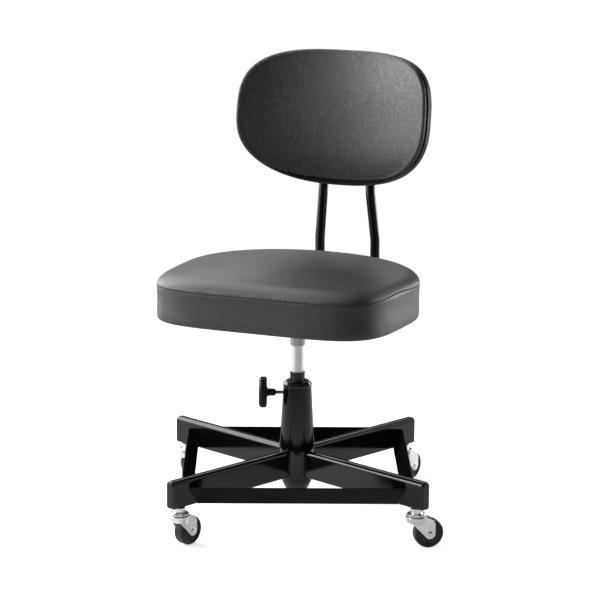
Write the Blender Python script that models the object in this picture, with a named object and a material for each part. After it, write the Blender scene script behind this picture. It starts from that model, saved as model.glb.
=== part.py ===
"""Swivel work chair: four-legged welded base on casters, clamped height post,
upholstered seat and a curved backrest pad on two bent rods.

Metres, +Z up. The floor is z = 0; pieces are set out from the column's axis.
"""
import math

import bmesh
import bpy
from mathutils import Matrix, Vector

# Where the column stands, so that the whole chair is centred on the origin
COLUMN_X = -0.002
COLUMN_Y = -0.011

# General fits
CLEARANCE = 0.0003          # gap between pieces that touch
RUNNING_CLEARANCE = 0.0003  # radial gap between pieces that slide or turn
ROUND_FACETS = 24
SMALL_FACETS = 12
CONE_FACETS = 32

# Casters
WHEEL_DIAMETER = 0.050
WHEEL_WIDTH = 0.018
WHEEL_FACETS = 28
WHEEL_EDGE = 0.0025
WHEEL_DISH_DEPTH = 0.0025
WHEEL_DISH_DIAMETER = 0.036
WHEEL_HUB_DIAMETER = 0.014
AXLE_DIAMETER = 0.006
AXLE_HEAD_DIAMETER = 0.010
AXLE_HEAD_HEIGHT = 0.0016
CASTER_HEIGHT = 0.0685
CASTER_TRAIL = 0.021
CASTER_INSET = 0.0214       # leg's nose to the swivel axis
FORK_SHEET = 0.002
FORK_ROOM = 0.003           # between the tread and the fork crown
FORK_CROWN_DIAMETER = 0.036
FORK_WAIST_DIAMETER = 0.0265
FORK_SKIRT = 0.0155
FORK_SKIRT_STRAIGHT = 0.0025
FORK_BACK_HEIGHT = 0.0435
CHEEK_ROOM = 0.0016         # between the wheel and each cheek
CHEEK_END_RADIUS = 0.009
CHEEK_SHOULDER = 0.0275     # how far forward the cheek reaches at its shoulder
CHEEK_SHOULDER_DROP = 0.0065
CHEEK_BACK_REACH = 0.009
TREAD_ROOM = 0.002          # round the tread inside the fork
KINGPIN_DIAMETER = 0.009
KINGPIN_HEAD_DIAMETER = 0.013
KINGPIN_HEAD_HEIGHT = 0.002
RACE_DIAMETER = 0.033
RACE_HEIGHT = 0.0045
RACE_GAP = 0.0008
STEM_BOSS_DIAMETER = 0.020
STEM_DIAMETER = 0.010
STEM_LENGTH = 0.026
CASTER_HEADINGS = {"fl": 49.0, "fr": 15.0, "bl": 95.0, "br": 52.0}

# Welded base
LEG_ANGLES = {"fl": 225.0, "fr": 315.0, "bl": 135.0, "br": 45.0}
LEG_REACH = 0.300
LEG_WIDTH = 0.019
LEG_HEIGHT = 0.048
LEG_WALL = 0.0016
LEG_TOP_RADIUS = 0.006
LEG_BOTTOM_RADIUS = 0.0035
LEG_NOSE_RADIUS = 0.003
SOCKET_HEIGHT = 0.030
SOCKET_WALL = 0.002
STRAP_INSET = 0.176         # column axis to the lower edge of a strap
STRAP_WIDTH = 0.0358
STRAP_THICKNESS = 0.0026
STRAP_LEAN = 28.4
STRAP_TURNS = {"front": 0.0, "right": 90.0, "back": 180.0, "left": 270.0}
HUB_DIAMETER = 0.060
HUB_WALL = 0.003
HUB_WEB = 0.003
CUP_DIAMETER = 0.052
CUP_FOOT_DIAMETER = 0.038
CUP_DEPTH = 0.0247
CUP_STRAIGHT = 0.0105
CUP_WALL = 0.002

# Column
CONE_TOP_DIAMETER = 0.0485
CONE_BOTTOM_DIAMETER = 0.0614
CONE_HEIGHT = 0.1137
CONE_WALL = 0.002
STUD_HOLE = 0.009           # in the cone, round the clamp stud
GUIDE_DIAMETER = 0.034
GUIDE_FLANGE_HEIGHT = 0.0055
GUIDE_STANDOUT = 0.009      # below the hub web, inside the cup
COLLAR_DIAMETER = 0.048
COLLAR_HEIGHT = 0.0058
COLLAR_CHAMFER = 0.002
CAP_SCREW_SPACING = 0.035
CAP_SCREW_DIAMETER = 0.004
CAP_SCREW_LENGTH = 0.0095
CAP_SCREW_HEAD = 0.0075
CAP_SCREW_HEAD_HEIGHT = 0.0026
CAP_SCREW_SLOT = 0.0011
SLEEVE_WALL = 0.0019
SLEEVE_LENGTH = 0.127
SLEEVE_STANDOUT = 0.0161    # above the collar
SLEEVE_SLIT = 0.0022
SLEEVE_SLIT_ANGLE = 216.0

# Clamp screw
CLAMP_DROP = 0.0152         # below the cone's rim
CLAMP_BOSS_DIAMETER = 0.018
STUD_DIAMETER = 0.0066
SHOE_LENGTH = 0.005
KNOB_DIAMETER = 0.054
KNOB_THICKNESS = 0.0145
KNOB_FACE = 0.0668          # column axis to the knob's outer face
KNOB_HUB_DIAMETER = 0.013
KNOB_HUB_LENGTH = 0.0152
KNOB_HUB_CHAMFER = 0.0025
KNOB_FLUTES = 12
KNOB_FLUTE_DEPTH = 0.0012
STUD_IN_KNOB = 0.010

# Post and swivel
POST_DIAMETER = 0.0216
POST_WALL = 0.002
POST_SHOWN = 0.0467         # between the sleeve and the seat hub
POST_BELOW_SLEEVE = 0.0378
HUB_TUBE_WALL = 0.00215
HUB_TUBE_LENGTH = 0.0560
HUB_TUBE_ROUND = 0.002
HUB_FLANGE_DIAMETER = 0.064
HUB_FLANGE_HEIGHT = 0.003
THRUST_HEIGHT = 0.006
THRUST_BORE = 0.008
GRUB_DIAMETER = 0.005
GRUB_HEIGHT = 0.0255        # above the lower end of the seat hub
GROOVE_DEPTH = 0.0012

# Seat
CHAIR_TURN = -23.0          # seat and backrest against the base, about Z
SEAT_WIDTH = 0.427
SEAT_FRONT = 0.1815         # seat centre to the front edge
SEAT_REAR = 0.188           # seat centre to the rear edge
SEAT_FRONT_POWER = 4.7
SEAT_REAR_POWER = 2.05
SEAT_FLARE = 0.032
SEAT_FORWARD = 0.016        # seat centre ahead of the column
SEAT_BAND = 0.059
SEAT_TUCK = 0.010
SEAT_DRAW = 0.001
SEAT_SHOULDER = 0.0214
SEAT_SHOULDER_RUN = 0.043
SEAT_CROWN = 0.015
SEAT_POINTS = 56
BOARD_THICKNESS = 0.012
BOARD_MARGIN = 0.014
PLATE_WIDTH = 0.200
PLATE_DEPTH = 0.190
PLATE_SHEET = 0.003
PLATE_LIP = 0.012
PLATE_REARWARD = 0.025

# Backrest rods
ROD_DIAMETER = 0.0173
ROD_SPACING_SEAT = 0.106
ROD_SPACING_PAD = 0.088
ROD_FRONT_END = 0.035
ROD_BEND_RADIUS = 0.055
ROD_BACK = 0.2316           # column axis to the upright part of the rods
ROD_LEAN_START = 0.100      # above the rods' level run
ROD_TOP_MARGIN = 0.030      # above the middle of the pad
BAR_LENGTH = 0.150
BAR_WIDTH = 0.022
BAR_THICKNESS = 0.004
BAR_PLACES = {"front": 0.055, "rear": 0.105}
BOLT_SPACING = 0.056
BOLT_DIAMETER = 0.006
BOLT_HEAD = 0.010
BOLT_HEAD_HEIGHT = 0.004

# Backrest pad
PAD_WIDTH = 0.3504
PAD_ABOVE = 0.1207
PAD_BELOW = 0.1161
PAD_TOP_POWER = 3.09
PAD_BOTTOM_POWER = 2.47
PAD_HOLLOW = 0.0625         # how far the ends come forward of the middle
PAD_TILT = 8.9
PAD_BACK = 0.2176           # column axis to the middle of the pad
PAD_CENTRE_HEIGHT = 0.3040  # above the seat's underside
PAD_EDGE = 0.010
PAD_CROWN = 0.012
PAD_BOARD = 0.004
PAD_GROOVE = 0.005
PAD_REAR_EASE = 0.0025
SHELL_EDGE = 0.0247
SHELL_ROUND = 0.006
SHELL_FRONT_EASE = 0.002
PAD_POINTS = 48
PAD_STEPS = (0.25, 0.5, 0.75)
CLIP_LENGTH = 0.040
CLIP_SHEET = 0.002
CLIP_EAR = 0.012
CLIP_HEIGHT = 0.004         # clip middle against the pad's middle

# Places and heights that follow from the sizes above
CASTER_RADIUS = LEG_REACH - CASTER_INSET
LEG_TOP = CASTER_HEIGHT + LEG_HEIGHT
CONE_BOTTOM = LEG_TOP + CLEARANCE
CONE_TOP = CONE_BOTTOM + CONE_HEIGHT
COLLAR_BOTTOM = CONE_TOP + CLEARANCE
COLLAR_TOP = COLLAR_BOTTOM + COLLAR_HEIGHT
FLANGE_TOP = CONE_TOP - CLEARANCE
FLANGE_BOTTOM = FLANGE_TOP - GUIDE_FLANGE_HEIGHT
GUIDE_BOTTOM = CASTER_HEIGHT - GUIDE_STANDOUT
SLEEVE_TOP = COLLAR_TOP + SLEEVE_STANDOUT
SLEEVE_BOTTOM = SLEEVE_TOP - SLEEVE_LENGTH
CLAMP_HEIGHT = CONE_TOP - CLAMP_DROP
HUB_TUBE_BOTTOM = SLEEVE_TOP + POST_SHOWN
HUB_TUBE_TOP = HUB_TUBE_BOTTOM + HUB_TUBE_LENGTH
PLATE_BOTTOM = HUB_TUBE_TOP + CLEARANCE
SEAT_UNDERSIDE = PLATE_BOTTOM + PLATE_SHEET + CLEARANCE
POST_TOP = HUB_TUBE_TOP - THRUST_HEIGHT - CLEARANCE
POST_BOTTOM = SLEEVE_BOTTOM - POST_BELOW_SLEEVE
ROD_LEVEL = PLATE_BOTTOM - CLEARANCE - ROD_DIAMETER / 2
FORK_TOP = WHEEL_DIAMETER + FORK_ROOM + FORK_SHEET
RACE_BOTTOM = FORK_TOP + RACE_GAP
RACE_TOP = RACE_BOTTOM + RACE_HEIGHT
CHEEK_INSIDE = WHEEL_WIDTH / 2 + CHEEK_ROOM
CHEEK_OUTSIDE = CHEEK_INSIDE + FORK_SHEET
PAD_DEPTH = PAD_EDGE + PAD_BOARD + SHELL_EDGE + 2 * CLEARANCE

# Radii of the nested tubes
POST_RADIUS = POST_DIAMETER / 2
SLEEVE_INSIDE = POST_RADIUS + RUNNING_CLEARANCE
SLEEVE_OUTSIDE = SLEEVE_INSIDE + SLEEVE_WALL
GUIDE_INSIDE = SLEEVE_OUTSIDE + CLEARANCE
HUB_TUBE_INSIDE = POST_RADIUS + RUNNING_CLEARANCE
HUB_TUBE_OUTSIDE = HUB_TUBE_INSIDE + HUB_TUBE_WALL

# Finishes: colour, roughness, metallic
BLACK_PAINT = ((0.012, 0.012, 0.013), 0.18, 0.0)
BRIGHT_PLATE = ((0.86, 0.85, 0.84), 0.12, 1.0)
ZINC_PLATE = ((0.74, 0.75, 0.74), 0.28, 1.0)
GREY_STEEL = ((0.30, 0.30, 0.30), 0.50, 0.6)
DARK_SLEEVE = ((0.055, 0.052, 0.055), 0.45, 0.0)
BLACK_PLASTIC = ((0.014, 0.014, 0.014), 0.35, 0.0)
BLACK_RUBBER = ((0.030, 0.030, 0.030), 0.60, 0.0)
BLACK_VINYL = ((0.035, 0.034, 0.034), 0.42, 0.0)
PLYWOOD = ((0.45, 0.31, 0.18), 0.65, 0.0)


def clear_scene():
    """Remove whatever the file holds before modelling."""
    for thing in list(bpy.data.objects):
        bpy.data.objects.remove(thing, do_unlink=True)


def finish_material(name, finish):
    """A plain Principled material for one piece."""
    colour, roughness, metallic = finish
    material = bpy.data.materials.new(name + "_finish")
    material.use_nodes = True
    shader = material.node_tree.nodes["Principled BSDF"]
    shader.inputs["Base Color"].default_value = (*colour, 1.0)
    shader.inputs["Roughness"].default_value = roughness
    shader.inputs["Metallic"].default_value = metallic
    return material


def add_empty(name, location=(0.0, 0.0, 0.0), turn=0.0, parent=None):
    """A pivot that pieces are parented to."""
    empty = bpy.data.objects.new(name, None)
    empty.location = location
    empty.rotation_euler = (0.0, 0.0, math.radians(turn))
    empty.parent = parent
    bpy.context.scene.collection.objects.link(empty)
    return empty


def add_piece(name, mesh, finish, parent=None, location=(0.0, 0.0, 0.0), rotation=(0.0, 0.0, 0.0)):
    """One named sub-part with its own material."""
    piece = bpy.data.objects.new(name, mesh)
    piece.location = location
    piece.rotation_euler = rotation
    piece.parent = parent
    bpy.context.scene.collection.objects.link(piece)
    if finish is not None:
        mesh.materials.clear()
        mesh.materials.append(finish_material(name, finish))
    return piece


def to_mesh(name, shape, sharp=35.0):
    """Turn an edited shape into a smooth-shaded mesh with its faces out."""
    bmesh.ops.recalc_face_normals(shape, faces=shape.faces)
    mesh = bpy.data.meshes.new(name)
    shape.to_mesh(mesh)
    shape.free()
    mesh.shade_smooth()
    mesh.set_sharp_from_angle(angle=math.radians(sharp))
    return mesh


def turned(profile, facets=ROUND_FACETS, phase=0.0):
    """Spin a closed outline of (radius, height) points round Z."""
    shape = bmesh.new()
    points = [shape.verts.new((radius, 0.0, height)) for radius, height in profile]
    edges = []
    for index, point in enumerate(points):
        following = points[(index + 1) % len(points)]
        edges.append(shape.edges.new((point, following)))
    bmesh.ops.spin(shape, geom=points + edges, cent=(0.0, 0.0, 0.0), axis=(0.0, 0.0, 1.0),
                   angle=math.tau, steps=facets, use_merge=True, use_duplicate=False)
    bmesh.ops.remove_doubles(shape, verts=shape.verts, dist=1e-6)
    bmesh.ops.dissolve_degenerate(shape, dist=1e-6, edges=shape.edges)
    loose = [edge for edge in shape.edges if not edge.link_faces]
    bmesh.ops.delete(shape, geom=loose, context="EDGES")
    bmesh.ops.rotate(shape, verts=shape.verts, cent=(0.0, 0.0, 0.0),
                     matrix=Matrix.Rotation(phase, 3, "Z"))
    return shape


def prism(outline, start, end):
    """Extrude an outline of (x, y) points along Z from start to end."""
    shape = bmesh.new()
    face = shape.faces.new([shape.verts.new((x, y, start)) for x, y in outline])
    grown = bmesh.ops.extrude_face_region(shape, geom=[face])
    moved = [item for item in grown["geom"] if isinstance(item, bmesh.types.BMVert)]
    bmesh.ops.translate(shape, verts=moved, vec=(0.0, 0.0, end - start))
    return shape


def rod_shape(radius, start, end, facets=SMALL_FACETS):
    """A plain round bar along Z."""
    return turned([(0.0, end), (radius, end), (radius, start), (0.0, start)], facets)


def oriented(shape, matrix):
    """Turn or move a shape before it becomes a mesh."""
    bmesh.ops.transform(shape, matrix=matrix, verts=shape.verts)
    return shape


def along_x():
    """Maps the Z axis of a shape to X and its X axis to Y."""
    return Matrix(((0, 0, 1, 0), (1, 0, 0, 0), (0, 1, 0, 0), (0, 0, 0, 1)))


def across_y():
    """Maps a prism's outline to the XZ plane and its depth to Y."""
    return Matrix(((1, 0, 0, 0), (0, 0, -1, 0), (0, 1, 0, 0), (0, 0, 0, 1)))


def combine(mesh, shape, operation):
    """Join a shape to a mesh, or cut it away, and return the new mesh."""
    target = bpy.data.objects.new("blank", mesh)
    tool = bpy.data.objects.new("tool", to_mesh("tool", shape))
    for item in (target, tool):
        bpy.context.scene.collection.objects.link(item)
    modifier = target.modifiers.new("shape", "BOOLEAN")
    modifier.operation = operation
    modifier.solver = "EXACT"
    modifier.object = tool
    bpy.context.view_layer.update()
    graph = bpy.context.evaluated_depsgraph_get()
    result = bpy.data.meshes.new_from_object(target.evaluated_get(graph), depsgraph=graph)
    result.name = mesh.name
    for item in (target, tool):
        bpy.data.objects.remove(item, do_unlink=True)
    return result


def cut(mesh, *shapes):
    """Cut each shape out of a mesh."""
    for shape in shapes:
        mesh = combine(mesh, shape, "DIFFERENCE")
    return mesh


def join(mesh, *shapes):
    """Fuse each shape with a mesh."""
    for shape in shapes:
        mesh = combine(mesh, shape, "UNION")
    return mesh


def arc(centre, radius, first, last, steps):
    """Points along a circular arc, angles in degrees."""
    points = []
    for step in range(steps + 1):
        angle = math.radians(first + (last - first) * step / steps)
        points.append((centre[0] + radius * math.cos(angle), centre[1] + radius * math.sin(angle)))
    return points


def rounded_box(width, height, top_radius, bottom_radius, steps=3):
    """A section centred on x with its foot at y = 0."""
    half = width / 2
    upper = height - top_radius
    points = arc((half - bottom_radius, bottom_radius), bottom_radius, -90, 0, steps)
    points += arc((half - top_radius, upper), top_radius, 0, 90, steps)
    points += arc((top_radius - half, upper), top_radius, 90, 180, steps)
    points += arc((bottom_radius - half, bottom_radius), bottom_radius, 180, 270, steps)
    return points


def loft(rings):
    """Skin a row of closed rings and close each end on its middle point."""
    shape = bmesh.new()
    rows = [[shape.verts.new(point) for point in ring] for ring in rings]
    count = len(rows[0])
    for lower, upper in zip(rows, rows[1:]):
        for index in range(count):
            after = (index + 1) % count
            shape.faces.new((lower[index], lower[after], upper[after], upper[index]))
    for row in (rows[0], rows[-1]):
        middle = shape.verts.new(sum((vert.co for vert in row), Vector()) / count)
        for index in range(count):
            shape.faces.new((row[index], row[(index + 1) % count], middle))
    return shape


def power_curve(angle, half_width, reach, power):
    """One point of a rounded outline between an ellipse and a rectangle."""
    across = math.cos(angle)
    along = math.sin(angle)
    x = math.copysign(abs(across) ** (2.0 / power), across) * half_width
    y = math.copysign(abs(along) ** (2.0 / power), along) * reach
    return x, y


# Casters

def wheel_mesh():
    """Rubber wheel with dished sides, a flat tread and a bored hub, axle along Y."""
    flat = math.cos(math.pi / WHEEL_FACETS)
    tread = WHEEL_DIAMETER / 2 / flat
    half = WHEEL_WIDTH / 2
    bore = AXLE_DIAMETER / 2 + RUNNING_CLEARANCE
    dish = WHEEL_DISH_DIAMETER / 2
    hub = WHEEL_HUB_DIAMETER / 2
    floor = half - WHEEL_DISH_DEPTH
    profile = [(bore, half), (hub, half), (hub + WHEEL_DISH_DEPTH, floor),
               (dish, floor), (tread - WHEEL_EDGE, half), (tread, half - WHEEL_EDGE)]
    profile += [(radius, -height) for radius, height in reversed(profile)]
    shape = turned(profile, WHEEL_FACETS, math.pi / WHEEL_FACETS)
    oriented(shape, Matrix.Rotation(math.pi / 2, 4, "X"))
    return to_mesh("wheel", shape)


def fork_outline():
    """Side view of a fork cheek, as (trail, height) points."""
    axle = (CASTER_TRAIL, WHEEL_DIAMETER / 2)
    crown = FORK_CROWN_DIAMETER / 2
    under = FORK_TOP - FORK_SHEET / 2
    front = CASTER_TRAIL + CHEEK_END_RADIUS
    points = [(front, FORK_TOP - 2 * CHEEK_SHOULDER_DROP), (CHEEK_SHOULDER, FORK_TOP - CHEEK_SHOULDER_DROP),
              (crown - FORK_SHEET, under), (FORK_SHEET - crown + FORK_SHEET, under),
              (-CHEEK_BACK_REACH - FORK_SHEET, FORK_BACK_HEIGHT)]
    return points + arc(axle, CHEEK_END_RADIUS, 222, 360, 6)


def fork_mesh():
    """Pressed fork: a coned crown with two cheeks that carry the axle behind the swivel."""
    crown = FORK_CROWN_DIAMETER / 2
    waist = FORK_WAIST_DIAMETER / 2
    straight = FORK_TOP - FORK_SKIRT_STRAIGHT
    skirt = FORK_TOP - FORK_SKIRT
    pin = KINGPIN_DIAMETER / 2 + RUNNING_CLEARANCE
    under = FORK_TOP - FORK_SHEET
    shape = turned([(pin, FORK_TOP), (crown - FORK_SHEET / 2, FORK_TOP), (crown, FORK_TOP - FORK_SHEET / 2),
                    (crown, straight), (waist, skirt), (waist - FORK_SHEET, skirt),
                    (waist - FORK_SHEET, under), (pin, under)])
    mesh = to_mesh("fork", shape)
    for inner, outer in ((CHEEK_INSIDE, CHEEK_OUTSIDE), (-CHEEK_OUTSIDE, -CHEEK_INSIDE)):
        mesh = join(mesh, oriented(prism(fork_outline(), inner, outer), across_y()))
    axle = Matrix.Translation((CASTER_TRAIL, 0.0, WHEEL_DIAMETER / 2)) @ Matrix.Rotation(math.pi / 2, 4, "X")
    tread = rod_shape(WHEEL_DIAMETER / 2 + TREAD_ROOM, -CHEEK_INSIDE, CHEEK_INSIDE, 20)
    bore = rod_shape(AXLE_DIAMETER / 2 + CLEARANCE, -crown, crown)
    far = -2 * crown
    tip = arc((CASTER_TRAIL, WHEEL_DIAMETER / 2), CHEEK_END_RADIUS, 222, 222, 1)[0]
    below = [(far, 0.0), (tip[0], 0.0), tip, (-CHEEK_BACK_REACH, FORK_BACK_HEIGHT), (far, FORK_BACK_HEIGHT)]
    trim = oriented(prism(below, -crown, crown), across_y())
    return cut(mesh, oriented(tread, axle), trim, oriented(bore, axle))


def axle_mesh():
    """Riveted axle across the fork, centred on the wheel."""
    radius = AXLE_DIAMETER / 2
    head = AXLE_HEAD_DIAMETER / 2
    seat = CHEEK_OUTSIDE + CLEARANCE
    end = seat + AXLE_HEAD_HEIGHT
    half = [(0.0, end), (head * 0.7, end), (head, seat + AXLE_HEAD_HEIGHT / 3), (head, seat), (radius, seat)]
    profile = half + [(r, -z) for r, z in reversed(half)]
    shape = turned(profile, SMALL_FACETS)
    return to_mesh("axle", oriented(shape, Matrix.Rotation(math.pi / 2, 4, "X")))


def stem_mesh():
    """Fixed half of the swivel: stem, boss, upper race and the riveted kingpin."""
    stem = STEM_DIAMETER / 2
    boss = STEM_BOSS_DIAMETER / 2
    race = RACE_DIAMETER / 2
    pin = KINGPIN_DIAMETER / 2
    head = KINGPIN_HEAD_DIAMETER / 2
    boss_top = CASTER_HEIGHT - CLEARANCE
    stem_top = CASTER_HEIGHT + STEM_LENGTH
    seat = FORK_TOP - FORK_SHEET - CLEARANCE
    lip = RACE_HEIGHT / 3
    profile = [(0.0, stem_top), (stem * 0.8, stem_top), (stem, stem_top - stem * 0.2), (stem, boss_top),
               (boss, boss_top), (boss, RACE_TOP), (race - lip, RACE_TOP), (race, RACE_TOP - lip),
               (race, RACE_BOTTOM), (pin, RACE_BOTTOM), (pin, seat), (head, seat),
               (head, seat - KINGPIN_HEAD_HEIGHT), (0.0, seat - KINGPIN_HEAD_HEIGHT)]
    return to_mesh("stem", turned(profile, 16))


def build_casters(chair):
    """Four casters: the stem stays with its leg, the fork swivels, the wheel rolls."""
    meshes = {"fork": fork_mesh(), "axle": axle_mesh(), "wheel": wheel_mesh(), "stem": stem_mesh()}
    axle = (CASTER_TRAIL, 0.0, WHEEL_DIAMETER / 2)
    for corner, heading in CASTER_HEADINGS.items():
        angle = math.radians(LEG_ANGLES[corner])
        place = (CASTER_RADIUS * math.cos(angle), CASTER_RADIUS * math.sin(angle), 0.0)
        swivel = add_empty("swivel_" + corner, place, heading, chair)
        add_piece("caster_stem_" + corner, meshes["stem"].copy(), ZINC_PLATE, chair, place)
        add_piece("caster_fork_" + corner, meshes["fork"].copy(), ZINC_PLATE, swivel)
        add_piece("caster_axle_" + corner, meshes["axle"].copy(), ZINC_PLATE, swivel, axle)
        add_piece("caster_wheel_" + corner, meshes["wheel"].copy(), BLACK_RUBBER, swivel, axle)


# Welded base

def leg_mesh():
    """Rectangular tube with soft top edges, a closed round nose and an open inner end, along X."""
    inner = HUB_DIAMETER / 2 + CLEARANCE
    outside = rounded_box(LEG_WIDTH, LEG_HEIGHT, LEG_TOP_RADIUS, LEG_BOTTOM_RADIUS)
    shape = oriented(prism(outside, inner, LEG_REACH), along_x())
    nose = [edge for edge in shape.edges if all(vert.co.x > LEG_REACH - 1e-6 for vert in edge.verts)]
    bmesh.ops.bevel(shape, geom=nose, offset=LEG_NOSE_RADIUS, segments=3, profile=0.5, affect="EDGES")
    oriented(shape, Matrix.Translation((0.0, 0.0, CASTER_HEIGHT)))
    mesh = to_mesh("leg", shape)
    inside = rounded_box(LEG_WIDTH - 2 * LEG_WALL, LEG_HEIGHT - 2 * LEG_WALL,
                         max(LEG_TOP_RADIUS - LEG_WALL, LEG_WALL),
                         max(LEG_BOTTOM_RADIUS - LEG_WALL, LEG_WALL))
    hollow = oriented(prism(inside, inner - LEG_WALL, LEG_REACH - LEG_WALL), along_x())
    oriented(hollow, Matrix.Translation((0.0, 0.0, CASTER_HEIGHT + LEG_WALL)))
    hole = rod_shape(STEM_DIAMETER / 2 + CLEARANCE, CASTER_HEIGHT - LEG_WALL, CASTER_HEIGHT + 2 * LEG_WALL)
    oriented(hole, Matrix.Translation((CASTER_RADIUS, 0.0, 0.0)))
    return cut(mesh, hollow, hole)


def socket_mesh():
    """Bush welded inside the leg's end that the caster stem goes up into."""
    bore = STEM_DIAMETER / 2 + CLEARANCE
    outside = min(bore + SOCKET_WALL, LEG_WIDTH / 2 - LEG_WALL - CLEARANCE)
    bottom = CASTER_HEIGHT + LEG_WALL + CLEARANCE
    top = bottom + SOCKET_HEIGHT
    chamfer = min(LEG_BOTTOM_RADIUS, outside - bore) * 0.6
    return to_mesh("socket", turned([(bore, top), (outside, top), (outside, bottom + chamfer),
                                     (outside - chamfer, bottom), (bore, bottom)], SMALL_FACETS))


def strap_mesh():
    """Leaning flat bar between two legs, mitred to the legs' sides, for the front."""
    lean = math.radians(STRAP_LEAN)
    rise = Vector((math.sin(lean), math.cos(lean)))
    out = Vector((math.cos(lean), -math.sin(lean)))
    foot = Vector((STRAP_INSET, CASTER_HEIGHT + STRAP_THICKNESS * math.sin(lean)))
    section = [foot, foot + out * STRAP_THICKNESS,
               foot + out * STRAP_THICKNESS + rise * STRAP_WIDTH, foot + rise * STRAP_WIDTH]
    setback = LEG_WIDTH / math.sqrt(2.0) + CLEARANCE * math.sqrt(2.0)
    shape = bmesh.new()
    ends = []
    for side in (-1, 1):
        ends.append([shape.verts.new((side * (reach - setback), -reach, height))
                     for reach, height in section])
    bmesh.ops.contextual_create(shape, geom=ends[0])
    bmesh.ops.contextual_create(shape, geom=ends[1])
    bmesh.ops.bridge_loops(shape, edges=shape.edges)
    return to_mesh("strap", shape)


def hub_mesh():
    """Short tube that the legs are welded round, with a web that holds the guide tube."""
    outside = HUB_DIAMETER / 2
    inside = outside - HUB_WALL
    bore = GUIDE_DIAMETER / 2 + CLEARANCE
    top = LEG_TOP
    web = CASTER_HEIGHT + HUB_WEB
    return to_mesh("hub", turned([(inside, top), (outside, top), (outside, CASTER_HEIGHT),
                                  (bore, CASTER_HEIGHT), (bore, web), (inside, web)]))


def cup_mesh():
    """Dished cap under the hub that closes the lower end of the guide tube."""
    rim = CUP_DIAMETER / 2
    foot = CUP_FOOT_DIAMETER / 2
    top = CASTER_HEIGHT - CLEARANCE
    knee = top - CUP_STRAIGHT
    bottom = top - CUP_DEPTH
    return to_mesh("cup", turned([(rim - CUP_WALL, top), (rim, top), (rim, knee), (foot, bottom),
                                  (0.0, bottom), (0.0, bottom + CUP_WALL),
                                  (foot - CUP_WALL / 2, bottom + CUP_WALL), (rim - CUP_WALL, knee)]))


def build_base(chair):
    """Hub, four legs with caster sockets, and the square of straps between them."""
    add_piece("hub", hub_mesh(), BLACK_PAINT, chair)
    add_piece("hub_cup", cup_mesh(), BLACK_PAINT, chair)
    leg = leg_mesh()
    socket = socket_mesh()
    for corner, angle in LEG_ANGLES.items():
        turn = (0.0, 0.0, math.radians(angle))
        place = (CASTER_RADIUS * math.cos(turn[2]), CASTER_RADIUS * math.sin(turn[2]), 0.0)
        add_piece("leg_" + corner, leg.copy(), BLACK_PAINT, chair, rotation=turn)
        add_piece("leg_socket_" + corner, socket.copy(), GREY_STEEL, chair, place)
    strap = strap_mesh()
    for side, angle in STRAP_TURNS.items():
        turn = (0.0, 0.0, math.radians(angle))
        add_piece("strap_" + side, strap.copy(), BLACK_PAINT, chair, rotation=turn)


# Column

def cone_radius(height):
    """Outside radius of the cone at a height."""
    share = (height - CONE_BOTTOM) / CONE_HEIGHT
    return (CONE_BOTTOM_DIAMETER + (CONE_TOP_DIAMETER - CONE_BOTTOM_DIAMETER) * share) / 2


def leftwards():
    """Maps the Z axis of a shape to the clamp's axis, outwards from the column."""
    return Matrix.Translation((0.0, 0.0, CLAMP_HEIGHT)) @ Matrix.Rotation(-math.pi / 2, 4, "Y")


def cone_mesh():
    """Tapered cover with a hole on the left for the clamp stud."""
    top = CONE_TOP_DIAMETER / 2
    bottom = CONE_BOTTOM_DIAMETER / 2
    shape = turned([(top - CONE_WALL, CONE_TOP), (top, CONE_TOP), (bottom, CONE_BOTTOM),
                    (bottom - CONE_WALL, CONE_BOTTOM)], CONE_FACETS)
    hole = rod_shape(STUD_HOLE / 2, top / 2, bottom + CONE_WALL)
    return cut(to_mesh("cone", shape), oriented(hole, leftwards()))


def screw_holes(bottom, top):
    """Two clearance holes for the cap screws."""
    holes = []
    for side in (-1, 1):
        hole = rod_shape(CAP_SCREW_DIAMETER / 2 + CLEARANCE, bottom, top)
        holes.append(oriented(hole, Matrix.Translation((side * CAP_SCREW_SPACING / 2, 0.0, 0.0))))
    return holes


def guide_mesh():
    """Guide tube with a step that the sleeve stands on, a top flange and the clamp boss."""
    outside = GUIDE_DIAMETER / 2
    flange = CONE_TOP_DIAMETER / 2 - CONE_WALL - CLEARANCE
    step = SLEEVE_BOTTOM - CLEARANCE
    narrow = SLEEVE_INSIDE + RUNNING_CLEARANCE
    shape = turned([(GUIDE_INSIDE, FLANGE_TOP), (flange, FLANGE_TOP), (flange, FLANGE_BOTTOM),
                    (outside, FLANGE_BOTTOM), (outside, GUIDE_BOTTOM), (narrow, GUIDE_BOTTOM),
                    (narrow, step), (GUIDE_INSIDE, step)])
    room = cone_radius(CLAMP_HEIGHT + CLAMP_BOSS_DIAMETER / 2) - CONE_WALL - CLEARANCE
    reach = math.sqrt(room ** 2 - (CLAMP_BOSS_DIAMETER / 2) ** 2)
    boss = rod_shape(CLAMP_BOSS_DIAMETER / 2, (GUIDE_INSIDE + outside) / 2, reach)
    bore = rod_shape(STUD_DIAMETER / 2 + RUNNING_CLEARANCE, POST_RADIUS / 2, reach + CONE_WALL)
    mesh = join(to_mesh("guide", shape), oriented(boss, leftwards()))
    screw_bottom = COLLAR_TOP - CAP_SCREW_LENGTH - CLEARANCE
    holes = screw_holes(screw_bottom, FLANGE_TOP + CAP_SCREW_DIAMETER)
    return cut(mesh, oriented(bore, leftwards()), *holes)


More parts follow.
